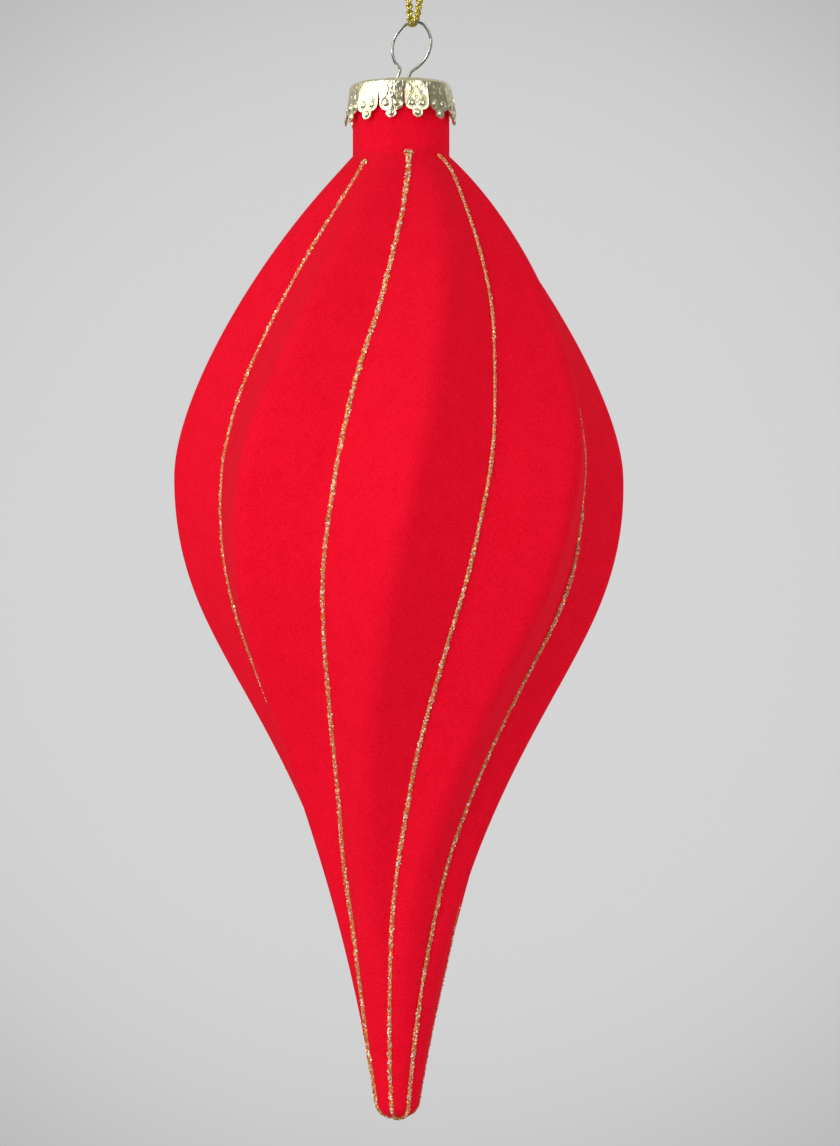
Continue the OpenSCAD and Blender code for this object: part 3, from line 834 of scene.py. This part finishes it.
def paper_material(s):
    """Pale paper of the floor and backdrop, with a painted pool of light behind the ornament and
    painted shade round it. Metal mirrors the half of the room in front of the ornament as
    darker: a painted reflection, since the camera sees that half pale"""
    material, tree, shader = new_material("stage_paper")
    place = add_node(tree, "TexCoord", {})["Object"]
    split = add_node(tree, "SeparateXYZ", {"Vector": place})
    off = add_node(tree, "VectorMath", {
        # A painted pool of light on the paper behind the ornament, with painted shade in a ring
        # round it
        0: place, 1: (0.0, s.room_radius, LAMP_TARGET[2])}, operation="DISTANCE")["Value"]
    half = add_node(tree, "Math", {0: off, 1: 0.5}, operation="MULTIPLY")["Value"]
    painted_pool = add_ramp(tree, half, [(at, (painted_pool,) * 3) for at, painted_pool in PAINTED_POOL_TONES], "B_SPLINE")
    # Painted reflection: the half of the room in front of the ornament is painted darker for
    # every ray but the camera's, so metal mirrors it dark
    front = add_node(tree, "MapRange", {
        "Value": split["Y"], "From Min": 0.5, "From Max": 2.4, "To Min": 0.34,
        "To Max": 1.0}, interpolation_type="SMOOTHSTEP")["Result"]
    rays = add_node(tree, "LightPath", {})
    seen = add_node(tree, "Math", {
        0: front, 1: rays["Is Camera Ray"]}, operation="MAXIMUM")["Value"]
    shade = mixed_colour(tree, 1.0, colour4(s.paper), painted_pool, "MULTIPLY")
    colour = mixed_colour(tree, seen, BLACK, shade)
    fill(tree, shader, {
        "Base Color": colour, "Emission Color": colour, "Emission Strength": s.paper_glow,
        "Roughness": 0.9, "Specular IOR Level": 0.0})
    return material


# The pieces


def braid(name, line, side, radius, stitch, squeeze):
    """Round braid of four strands over a core, along a line. Each strand swells where it
    passes over another. squeeze is the share of its thickness lost along the line"""
    line, at = evenly(line, stitch / STITCH_STEPS)
    flat, up = ring_frames(line, side)
    turn = at * math.pi / stitch
    strand = STRAND * radius
    share = np.interp(at, *squeeze)
    wide, thin = 1 + share, 1 - share
    lines, widths = [], []
    for hand, start in ((1, 0.0), (1, math.pi), (-1, 0.0), (-1, math.pi)):
        a = hand * turn + start
        over = hand * np.cos(2 * turn)
        reach = radius - strand + SWING * radius * over
        lines.append(line + (wide * reach * np.cos(a))[:, None] * flat
                     + (thin * reach * np.sin(a))[:, None] * up)
        widths.append((1 + SWELL * over) * (0.5 + 0.5 * thin))
    lines.append(line)
    widths.append(CORE * thin)
    return bend_strands(name, lines, widths, 2 * strand, 8), line


def gold_thread(s):
    """The thread's material, made once"""
    return bpy.data.materials.get("gold_thread") or thread_material(s)


class AddCord(bpy.types.Operator):
    """Adds the braided metallic cord that passes under the wire ring"""

    bl_idname = "finial.add_cord"
    bl_label = "Add the cord"

    def execute(self, context):
        s = context.scene.finial_cord
        line = smooth_route(np.array(CORD_ROUTE) * 0.001, 8)
        spots, at = evenly(line, s.stitch / STITCH_STEPS)
        share = s.press * np.exp(-(np.linalg.norm(spots, axis=1) / PRESS_REACH) ** 2)
        cord, path = braid("hanging_cord_braid", line, np.array((1.0, 0.0, 0.0)),
                           s.diameter / 2, s.stitch, (at, share))
        dress(cord, gold_thread(s))
        smooth(cord, 60)
        hang(cord, "cord", "hanging_cord")
        length = float(np.linalg.norm(np.diff(path, axis=0), axis=1).sum())
        self.declare(cord, path, length, s.diameter)
        return {"FINISHED"}

    def declare(self, cord, path, length, diameter):
        """Adds the knot that closes the cord's loop. The cord, its path, length and diameter are
        not used
        """
        bpy.ops.finial.add_knot()


class AddKnot(bpy.types.Operator):
    """Adds the overhand knot that closes the cord's loop, with its two ends"""

    bl_idname = "finial.add_knot"
    bl_label = "Add the knot"

    def execute(self, context):
        s = context.scene.finial_cord
        low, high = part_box("cord_knot")
        middle = (low + high) / 2
        r = s.diameter / 2
        reach = s.knot_width / 2 - r
        base = low.z + s.knot_height / 2
        t = np.linspace(0, 2 * math.pi, 73)[:-1]
        x = (np.sin(t) + 2 * np.sin(2 * t)) / 3
        y = (np.cos(t) - 2 * np.cos(2 * t)) / 3
        z = -np.sin(3 * t)
        loop = np.stack([middle.x + reach * x, middle.y + reach * y,
                         base + (s.knot_height / 2 - r) * z], axis=1)
        loop = np.concatenate([loop, loop[:1]])
        parts = [braid("cord_knot_tied", loop, np.array((0.0, 0.0, 1.0)), r, s.stitch,
                       ((0, 1), (KNOT_PRESS, KNOT_PRESS)))[0]]
        for side in (-1, 1):
            foot = np.array((middle.x + side * TAIL_FOOT[0], middle.y + side * TAIL_FOOT[1],
                             base + s.knot_height * TAIL_RISE))
            lean = np.array((math.sin(side * TAIL_LEAN), 0, 1))
            tail = [foot, foot + lean * s.tail * 0.5,
                    foot + lean * (s.tail + s.knot_height * TAIL_PAST)]
            parts.append(braid("tail", smooth_route(tail, 6), np.array((0.0, 1.0, 0.0)),
                               r * TAIL_SHARE, s.stitch, ((0, 1), (0, 0)))[0])
        knot = joined(parts)
        dress(knot, gold_thread(s))
        smooth(knot, 60)
        hang(knot, "cord", "cord_knot")
        return {"FINISHED"}


def wire_line(s, shell):
    """The wire's middle from foot to foot"""
    top = -s.rise
    inside = shell.neck_radius - shell.wall - s.diameter / 2 - s.leg_play
    hole = s.leg_gap / 2
    legs = []
    for side in (-1, 1):
        legs.append([(shell.neck_x + side * (hole + (inside - hole) * a), 0,
                      top - s.leg_length * b) for a, b in LEG_COURSE])
    ring = [(a * s.width / 2, 0, b * s.rise) for a, b in RING_COURSE]
    return smooth_route(legs[0][::-1] + ring + legs[1], 6)


class AddWire(bpy.types.Operator):
    """Adds the spring wire: a ring, a pinch and two legs that spread in the neck"""

    bl_idname = "finial.add_wire"
    bl_label = "Add the wire hanger"

    def execute(self, context):
        s = context.scene.finial_wire
        line, _ = evenly(wire_line(s, context.scene.finial_shell), FINE_STEP)
        wire = bend_strands("hanger_wire_bent", [line], [np.ones(len(line))], s.diameter, 16)
        dress(wire, wire_material(s))
        smooth(wire, 40)
        hang(wire, "wire", "hanger_wire")
        return {"FINISHED"}


def petal_end(s, side):
    """Depth of a petal's end at a distance from its middle"""
    lobe_z = s.height - s.lobe_radius
    corner_z = lobe_z - LOBE_DROP
    side = np.abs(side)
    corner = s.petal_width / 2 - s.corner_radius
    depth = corner_z - s.corner_radius + np.sqrt(
        np.maximum(s.corner_radius ** 2 - np.maximum(side - corner, 0) ** 2, 0))
    lobe = lobe_z + np.sqrt(np.maximum(s.lobe_radius ** 2 - side ** 2, 0))
    return np.where(side <= s.lobe_radius, lobe, depth)


def stamped(s, side, depth):
    """Height of the stamped pattern on a petal: domes with a moat, strokes and dots"""
    height = np.zeros_like(side)
    lobe_z = s.height - s.lobe_radius
    for x, y in ((-DOME_SIDE, DOME_DEPTH), (DOME_SIDE, DOME_DEPTH), (0.0, lobe_z)):
        d = np.hypot(side - x, depth - y) / s.dome_radius
        dome = s.dome_height * np.sqrt(np.maximum(1 - d ** 2, 0))
        moat = -MOAT_SHARE * s.dome_height * np.exp(-((d - MOAT_PLACE) / MOAT_WIDTH) ** 2)
        height += dome + moat
    for x, y in DOTS:
        d = np.hypot(side - x, depth - y) / DOT_RADIUS
        height += DOT_HEIGHT * np.exp(-d ** 2 * 1.2)
    line, _ = evenly(smooth_route([(x, y, 0) for x, y in STROKE], 6), 0.00006)
    for hand in (-1, 1):
        best = np.full(side.shape, 1.0)
        for x, y in line[:, :2]:
            best = np.minimum(best, np.hypot(side - hand * x, depth - y))
        height += STROKE_HEIGHT * np.exp(-(best / STROKE_RADIUS) ** 2)
    return height


def askew(s, shell, points):
    """The cap rests on the left of the neck's rim and is raised on the right"""
    x = points[:, 0] - s.aside + shell.rim_radius
    z = points[:, 2] + s.sheet
    return np.stack([
        shell.neck_x - shell.rim_radius + x * math.cos(s.tilt) - z * math.sin(s.tilt),
        points[:, 1],
        RIM_Z + x * math.sin(s.tilt) + z * math.cos(s.tilt)], axis=1)


def cap_columns(s):
    """Places across a petal, from -1 to 1, close together at the sides of its end lobe"""
    step = s.lobe_radius / (s.petal_width / 2)
    inner = step * np.sin(np.linspace(0, math.pi / 2, 13))
    outer = np.linspace(step + 0.012, 1, 15)
    half = np.concatenate([inner, outer])
    return np.concatenate([-half[:0:-1], half])


def petal_points(s, cap_in, columns, number):
    """Points of one sector of the cap, from the middle of its top to its petal's end. cap_in
    is the inner radius of the cap's wall"""
    rng = np.random.default_rng(70 + number)
    flat_r = cap_in + s.sheet - s.edge
    top_rows, edge_rows, band_rows, leaf_rows = CAP_ROWS
    bend, left_out, fold, flatness = PETAL_BEND.get(
        number, HALF_FLAT + rng.uniform(-PETAL_STRAY, PETAL_STRAY, 4))
    wide = columns * math.pi / s.petals
    side = columns * s.petal_width / 2
    out = []
    for level in range(sum(CAP_ROWS) + 1):
        angle = wide
        past = level - top_rows - edge_rows
        if level <= top_rows:
            r = np.full(columns.shape, flat_r * level / top_rows)
            z = np.zeros(columns.shape)
        elif past <= 0:
            a = (level - top_rows) / edge_rows * math.pi / 2
            z = np.full(columns.shape, -s.edge * (1 - math.cos(a)))
            r = flat_r + s.edge * math.sin(a) + stamped(s, side, -z) * math.sin(a) ** 2
        else:
            if past <= band_rows:
                depth = np.full(columns.shape,
                                s.edge + (s.slit_start - s.edge) * past / band_rows)
                narrow = 0.0
            else:
                share = (past - band_rows) / leaf_rows
                depth = s.slit_start + (petal_end(s, side) - s.slit_start) * share
                narrow = min(1.0, (past - band_rows) / 2)
            fall = (depth - s.edge) / (s.height - s.edge)
            skirt = cap_in + s.sheet + s.flare * fall * (FLARE_EVEN + FLARE_CURVED * fall)
            slim = np.arcsin(np.clip(side / skirt, -1, 1))
            angle = wide * (1 - narrow) + slim * narrow
            # A stamped petal is flatter than the round skirt, and each is bent its own way
            flat = ((skirt / np.cos(slim) - skirt) * flatness
                    * np.clip(fall * FLAT_ONSET, 0, 1))
            bent = 0.001 * (bend * fall ** 2 - left_out * columns * fall
                            - fold * np.abs(columns) * np.minimum(1, fall * FOLD_ONSET))
            across, petal, down = BUCKLE_TURNS
            buckle = BUCKLE * np.sin(columns * across + number * petal + down * fall) * fall
            r = skirt + flat + bent + buckle + stamped(s, side, depth)
            z = -depth
        azimuth = s.first_petal + number * 2 * math.pi / s.petals + angle
        out.append(round_axis(r, azimuth, z))
    return np.array(out)


class AddCap(bpy.types.Operator):
    """Adds the stamped crown cap with its scalloped, embossed petals"""

    bl_idname = "finial.add_cap"
    bl_label = "Add the crown cap"

    def execute(self, context):
        s = context.scene.finial_cap
        shell = context.scene.finial_shell
        columns = cap_columns(s)
        sectors = []
        for number in range(s.petals):
            sector, row, col = new_grid("cap_sector", len(columns) - 1, sum(CAP_ROWS))
            points = petal_points(s, shell.neck_radius + s.neck_play, columns, number)
            put(sector, askew(s, shell, points[row, col]))
            sectors.append(sector)
        cap = take(joined(sectors), "crown_cap")
        weld(cap, CAP_SEAM)
        thicken(cap, s.sheet)
        self.pierce(cap, s, context.scene.finial_wire, shell)
        dress(cap, cap_material(s))
        smooth(cap, 50)
        hang(cap, "cap_metal", "cap")
        return {"FINISHED"}

    def pierce(self, cap, s, wire, shell):
        """Cuts the two holes that the wire's legs go through"""
        for side in (-1, 1):
            punch = added(
                bpy.ops.mesh.primitive_cylinder_add, "punch", vertices=24,
                radius=s.hole_radius, depth=PUNCH_DEPTH,
                location=(shell.neck_x + side * wire.leg_gap / 2, 0, -wire.rise))
            only(cap)
            cut = cap.modifiers.new("leg_hole", "BOOLEAN")
            cut.operation = "DIFFERENCE"
            cut.solver = "EXACT"
            cut.object = punch
            bpy.ops.object.modifier_apply(modifier=cut.name)
            bpy.data.objects.remove(punch)


class AddShell(bpy.types.Operator):
    """Adds the blown glass shell with its twisted lobes, covered in flock"""

    bl_idname = "finial.add_shell"
    bl_label = "Add the flocked shell"

    def execute(self, context):
        s = context.scene.finial_shell
        per_lobe, neck_rows, near_ridge, first_row = 26, 6, 0.35, 0.002
        z, radius, swell = shell_rows(s, *SHELL_ROWS)
        end_z, end_radius = tip_rows(s, np.radians([15, 30, 45, 58, 70, 80, 90]))
        end_radius[-1] = 0.0
        z = np.concatenate([
            [RIM_Z, RIM_Z - (s.neck_radius - s.rim_radius)],
            np.linspace(RIM_Z - first_row, z[0], neck_rows + 1)[:-1], z, end_z])
        radius = np.concatenate([
            [s.rim_radius], np.full(neck_rows + 1, s.neck_radius), radius, end_radius])
        swell = np.concatenate([np.zeros(neck_rows + 2), swell, np.zeros(len(end_z))])
        shell, row, col = new_grid("flocked_shell", per_lobe * s.lobes, len(z) - 1)
        t = 2 * ((col % per_lobe) / per_lobe) - 1
        half = math.pi / s.lobes
        angle = half * (near_ridge * t + (1 - near_ridge) * t ** 3)
        reach = lobe_reach(s, np.maximum(radius, 1e-6)[row], swell[row], angle)
        reach = np.where(radius[row] == 0, 0, reach)
        azimuth = (groove_turn(s, z[row]) + half + (col // per_lobe) * 2 * half + angle)
        put(shell, round_axis(reach, azimuth, z[row], shell_middle(s, z[row])))
        weld(shell, SHELL_SEAM)
        thicken(shell, s.wall)
        dress(shell, flock_material(s))
        smooth(shell, 50)
        hang(shell, "red_flock", "body")
        return {"FINISHED"}


def flake_points(rng, centres, normals, size):
    """Corners of flakes: flat hexagons, each turned and tilted its own way"""
    n = len(centres)
    lean = unit(normals + rng.normal(0, FLAKE_TILT, (n, 3)))
    side = unit(np.cross(lean, rng.normal(0, 1, (n, 3))))
    up = np.cross(lean, side)
    half = size / 2 * rng.uniform(*FLAKE_SIZES, n)
    corners = []
    for a in np.arange(FLAKE_CORNERS) * 2 * math.pi / FLAKE_CORNERS:
        corners.append(centres + half[:, None] * (math.cos(a) * side + math.sin(a) * up))
    return np.stack(corners, axis=1).reshape(-1, 3)


def glitter_piece(name, base, base_faces, flakes, rng, materials):
    """One piece of glue with its flakes, each flake with its own random number"""
    count = len(flakes) // FLAKE_CORNERS
    first = len(base)
    faces = list(base_faces)
    for start in range(first, first + len(flakes), FLAKE_CORNERS):
        faces.append(tuple(range(start, start + FLAKE_CORNERS)))
    piece = mesh_piece(name, np.concatenate([base, flakes]), faces)
    dress(piece, *materials)
    piece.data.polygons.foreach_set(
        "material_index", [0] * len(base_faces) + [1] * count)
    own = piece.data.attributes.new("flake", "FLOAT", "POINT")
    values = np.concatenate([np.full(first, 0.5),
                             np.repeat(rng.random(count), FLAKE_CORNERS)])
    own.data.foreach_set("value", values)
    return piece


def glitter_materials(s):
    """The glue and the flakes, made once"""
    found = bpy.data.materials.get("glitter_glue")
    if found:
        return found, bpy.data.materials["glitter_flakes"]
    return glue_material(s), flake_material(s)


def groove_strip(shell, width, drift, z, radius, swell, number):
    """The two edges of a glitter line on the shell, at each row"""
    half = math.pi / shell.lobes
    groove = lobe_reach(shell, radius, swell, half)
    middle = groove_turn(shell, z) + number * 2 * half
    aside = drift / (groove * np.maximum(-np.sin(middle), 0.3))
    lean = np.arcsin(np.minimum(0.9, width / 2 / groove))
    edges = []
    for hand in (-1, 1):
        off = aside + hand * lean
        reach = lobe_reach(shell, radius, swell, half - np.abs(off))
        edges.append(round_axis(reach, middle + off, z, shell_middle(shell, z)))
    return edges


class AddGlitterLines(bpy.types.Operator):
    """Adds the glitter lines, one in each groove, from the shoulder to the tip"""

    bl_idname = "finial.add_glitter_lines"
    bl_label = "Add the glitter lines"

    def execute(self, context):
        shell = context.scene.finial_shell
        s = context.scene.finial_glitter
        z, radius, swell = shell_rows(shell, *LINE_ROWS)
        end_z, end_radius = tip_rows(shell, np.radians(np.linspace(4, 78, 30)))
        z = np.concatenate([z, end_z])
        radius = np.concatenate([radius, end_radius])
        swell = np.concatenate([swell, np.zeros(len(end_z))])
        rows, _ = evenly(np.stack([z, radius, swell], axis=1), FINE_STEP)
        for number, node in enumerate(LINE_NODES):
            self.add_line(s, shell, *rows.T, number, node)
        return {"FINISHED"}

    def widths(self, s, rng, run, drop, radius, shell, node):
        """Width of a line along its run: uneven, with a blob at each start"""
        width = s.width * sum((share * wander(rng, run, length)
                               for length, share in WIDTH_WAVES), start=1)
        width = width * np.interp(drop * 1000, *zip(*LINE_SHARE.get(node, [(0, 1), (1, 1)])))
        full = 1.0 if node == FULL_BLOB else SMALL_BLOB
        width = width + full * (s.blob - s.width) * np.exp(-(run / BLOB_LENGTH) ** 4)
        if node in SECOND_START:
            late = (drop - SECOND_START[node] / 1000) / SECOND_BLOB_LENGTH
            width = width + SECOND_BLOB * (s.blob - s.width) * np.exp(-late ** 2)
        width = width * np.sqrt(np.clip((run + 0.0001) / START_LENGTH, 0, 1))
        return np.minimum(width, radius * math.sin(math.pi / shell.lobes))

    def add_line(self, s, shell, z, radius, swell, number, node):
        """One line: a ragged bead of glue, and the flakes that cover it"""
        rng = np.random.default_rng(40 + number)
        drop = RIM_Z - shell.neck_length - z
        keep = drop >= LINE_START.get(node, 0.0) / 1000 - 1e-9
        z, radius, swell, drop = z[keep], radius[keep], swell[keep], drop[keep]
        run = np.concatenate([[0], np.cumsum(np.hypot(np.diff(z), np.diff(radius)))])
        drift = course_at(LINE_DRIFT.get(node, [(0, 0), (1, 0)]), drop * 1000) / 1000
        drift = drift + DRIFT_WAVE[1] * wander(rng, run, DRIFT_WAVE[0])
        width = self.widths(s, rng, run, drop, radius, shell, node)
        left, right = groove_strip(shell, width, drift, z, radius, swell, number)
        across = right - left
        middle = (left + right) / 2
        along = np.gradient(middle, axis=0)
        out = unit(np.cross(along, across))
        uneven = BEAD_HEIGHT + HEIGHT_WAVE[1] * wander(rng, run, HEIGHT_WAVE[0])
        height = np.minimum(s.height * uneven, width * BEAD_LIMIT)
        arc = np.linspace(0, math.pi, 8)
        rows = np.stack([middle - across / 2 * math.cos(a)
                         + out * (height * math.sin(a))[:, None] for a in arc], axis=1)
        count = s.flakes
        steps = np.linalg.norm(along, axis=1) * np.maximum(width / s.width, 0.5)
        spots = rng.choice(len(z), count, p=steps / steps.sum())
        a = np.arccos(np.clip(rng.uniform(-1.06, 1.06, count), -1, 1))
        stray = rng.random(count) < STRAY_FLAKES
        spread = np.where(stray, rng.uniform(*STRAY_REACH, count), 1.0)
        centres = (middle[spots] + along[spots] * rng.uniform(-0.5, 0.5, count)[:, None]
                   + across[spots] / 2 * (np.cos(a) * spread)[:, None]
                   + out[spots] * (height[spots] * np.sin(a))[:, None])
        normals = unit(unit(across[spots]) * (0.7 * np.cos(a))[:, None]
                       + out[spots] * (0.35 + np.sin(a))[:, None])
        centres = centres + normals * rng.uniform(0.0, FLAKE_LIFT, count)[:, None]
        size = s.flake * np.clip(width[spots] / s.width, 0.7, 1)
        flakes = flake_points(rng, centres, normals, size)
        line = glitter_piece(f"glitter_in_groove_{number + 1}", rows.reshape(-1, 3),
                             tube_faces(len(z), len(arc)), flakes, rng,
                             glitter_materials(s))
        hang(line, "glitter", node)


class AddGlitterTip(bpy.types.Operator):
    """Adds the button of glitter under the tip, where the lines meet"""

    bl_idname = "finial.add_glitter_tip"
    bl_label = "Add the glitter tip"

    def execute(self, context):
        shell = context.scene.finial_shell
        s = context.scene.finial_glitter
        rng = np.random.default_rng(99)
        low = shell.tip_height + s.tip_dab
        end = spire_end(shell)
        middle = shell_middle(shell, end)
        cols = 24
        turn = np.arange(cols) * 2 * math.pi / cols
        uneven = 1 + 0.06 * np.sin(3 * turn) + 0.04 * np.sin(5 * turn + 1)
        shell_low = end - shell.tip_height * math.sqrt(
            1 - (s.tip_reach / shell.tip_radius) ** 2)
        rows = []
        for a in np.radians([0, 22, 44, 64, 80]):
            r = s.tip_reach * math.cos(a) * uneven
            height = shell_low + (end - low - shell_low) * math.sin(a)
            rows.append(round_axis(r, turn, np.full(cols, height), middle))
        base = np.concatenate(rows)
        base_faces = [f[::-1] for f in tube_faces(len(rows), cols)]
        lat = np.arcsin(rng.uniform(0, 1, s.tip_flakes))
        az = rng.uniform(0, 2 * math.pi, s.tip_flakes)
        centres = round_axis(s.tip_reach * np.cos(lat), az,
                             shell_low + (end - low - shell_low) * np.sin(lat), middle)
        normals = round_axis(np.cos(lat), az, -np.sin(lat))
        flakes = flake_points(rng, centres, normals, s.flake)
        tip = glitter_piece("glitter_button", base, base_faces, flakes, rng,
                            glitter_materials(s))
        hang(tip, "glitter", "glitter_tip")
        return {"FINISHED"}


# The stage


def add_lamp(name, place, size, power):
    """A soft panel lamp, aimed at the ornament's middle"""
    lamp = added(bpy.ops.object.light_add, name, type="AREA", location=place)
    lamp.data.shape = "RECTANGLE"
    lamp.data.size, lamp.data.size_y = size
    lamp.data.energy = power
    aim = np.array(LAMP_TARGET) - np.array(place)
    flat = math.hypot(aim[0], aim[1])
    lamp.rotation_euler = (math.atan2(flat, -aim[2]), 0, math.atan2(-aim[0], aim[1]))
    lamp.visible_camera = False
    return lamp


class AddStage(bpy.types.Operator):
    """Adds the camera, the soft lamps, the pale floor and its round backdrop"""

    bl_idname = "finial.add_stage"
    bl_label = "Add the stage"

    def execute(self, context):
        s = context.scene.finial_stage
        camera = added(bpy.ops.object.camera_add, "camera", location=s.camera_place,
                       rotation=(math.pi / 2, 0, 0))
        camera.data.lens = s.lens
        camera.data.sensor_width = 36.0
        context.scene.camera = camera
        context.scene.view_settings.view_transform = "Standard"
        self.add_room(s)
        self.add_sky(context.scene, s)
        for name, (place, size) in FLOCK_LAMPS.items():
            add_lamp(name, place, size, getattr(s, name)).visible_glossy = False
        for name, (place, size, share, setting) in MIRRORED_LAMPS.items():
            add_lamp(name, place, size, getattr(s, setting) * share).visible_diffuse = False
        return {"FINISHED"}

    def add_sky(self, scene, s):
        """The even light of the room, with its own strength for mirrored rays"""
        world = bpy.data.worlds.new("room")
        scene.world = world
        world.use_nodes = True
        tree = world.node_tree
        rays = add_node(tree, "LightPath", {})
        level = mixed(tree, rays["Is Glossy Ray"], s.sky, s.sky_mirrored)
        fill(tree, tree.nodes["Background"], {"Color": WHITE, "Strength": level})

    def add_room(self, s):
        """Floor and wall in one sweep: an open drum with a wide bevel round its floor"""
        depth, sides, sweep, near = 3.2, 96, 0.9, 0.01
        room = added(
            bpy.ops.mesh.primitive_cylinder_add, "stage_floor", vertices=sides,
            radius=s.room_radius, depth=depth, end_fill_type="NGON",
            location=(0, 0, s.floor_z + depth / 2))
        bpy.ops.object.transform_apply(location=True, rotation=True, scale=True)
        data = room.data
        bpy.ops.object.mode_set(mode="EDIT")
        bpy.ops.mesh.select_all(action="DESELECT")
        bpy.ops.object.mode_set(mode="OBJECT")
        for face in data.polygons:
            face.select = face.center.z > s.floor_z + depth - near
        bpy.ops.object.mode_set(mode="EDIT")
        bpy.ops.mesh.select_mode(type="FACE")
        bpy.ops.mesh.delete(type="FACE")
        bpy.ops.mesh.select_mode(type="EDGE")
        bpy.ops.mesh.select_all(action="DESELECT")
        bpy.ops.object.mode_set(mode="OBJECT")
        for edge in data.edges:
            edge.select = all(data.vertices[v].co.z < s.floor_z + near for v in edge.vertices)
        bpy.ops.object.mode_set(mode="EDIT")
        bpy.ops.mesh.bevel(offset=sweep, segments=24)
        bpy.ops.mesh.select_all(action="SELECT")
        bpy.ops.mesh.flip_normals()
        bpy.ops.object.mode_set(mode="OBJECT")
        smooth(room, 40)
        dress(room, paper_material(s))
        # The room's even light comes through the paper from all sides
        room.visible_diffuse = False
        room.visible_shadow = False


class OrnamentPanel(bpy.types.Panel):
    """Lists the ornament's pieces in the sidebar"""

    bl_idname = "VIEW3D_PT_finial"
    bl_label = "Finial ornament"
    bl_space_type = "VIEW_3D"
    bl_region_type = "UI"
    bl_category = "Ornament"

    def draw(self, context):
        for operator in OPERATORS:
            self.layout.operator(operator.bl_idname)


SETTINGS = {
    "finial_shell": ShellSettings,
    "finial_glitter": GlitterSettings,
    "finial_cap": CapSettings,
    "finial_wire": WireSettings,
    "finial_cord": CordSettings,
    "finial_stage": StageSettings,
}
OPERATORS = (AddStage, AddCord, AddKnot, AddWire, AddCap, AddShell, AddGlitterLines,
             AddGlitterTip)


def register():
    """Registers the settings, the operators and the panel"""
    for name, group in SETTINGS.items():
        bpy.utils.register_class(group)
        setattr(bpy.types.Scene, name, bpy.props.PointerProperty(type=group))
    for operator in OPERATORS:
        bpy.utils.register_class(operator)
    bpy.utils.register_class(OrnamentPanel)


def unregister():
    """Takes them all away again"""
    bpy.utils.unregister_class(OrnamentPanel)
    for operator in reversed(OPERATORS):
        bpy.utils.unregister_class(operator)
    for name, group in reversed(list(SETTINGS.items())):
        delattr(bpy.types.Scene, name)
        bpy.utils.unregister_class(group)


def main():
    """Makes the whole ornament: the camera and the cord first"""
    register()
    bpy.ops.object.select_all(action="DESELECT")
    bpy.ops.finial.add_stage()
    bpy.ops.finial.add_cord()
    bpy.ops.finial.add_wire()
    bpy.ops.finial.add_cap()
    bpy.ops.finial.add_shell()
    bpy.ops.finial.add_glitter_lines()
    bpy.ops.finial.add_glitter_tip()


if __name__ == "__main__":
    main()
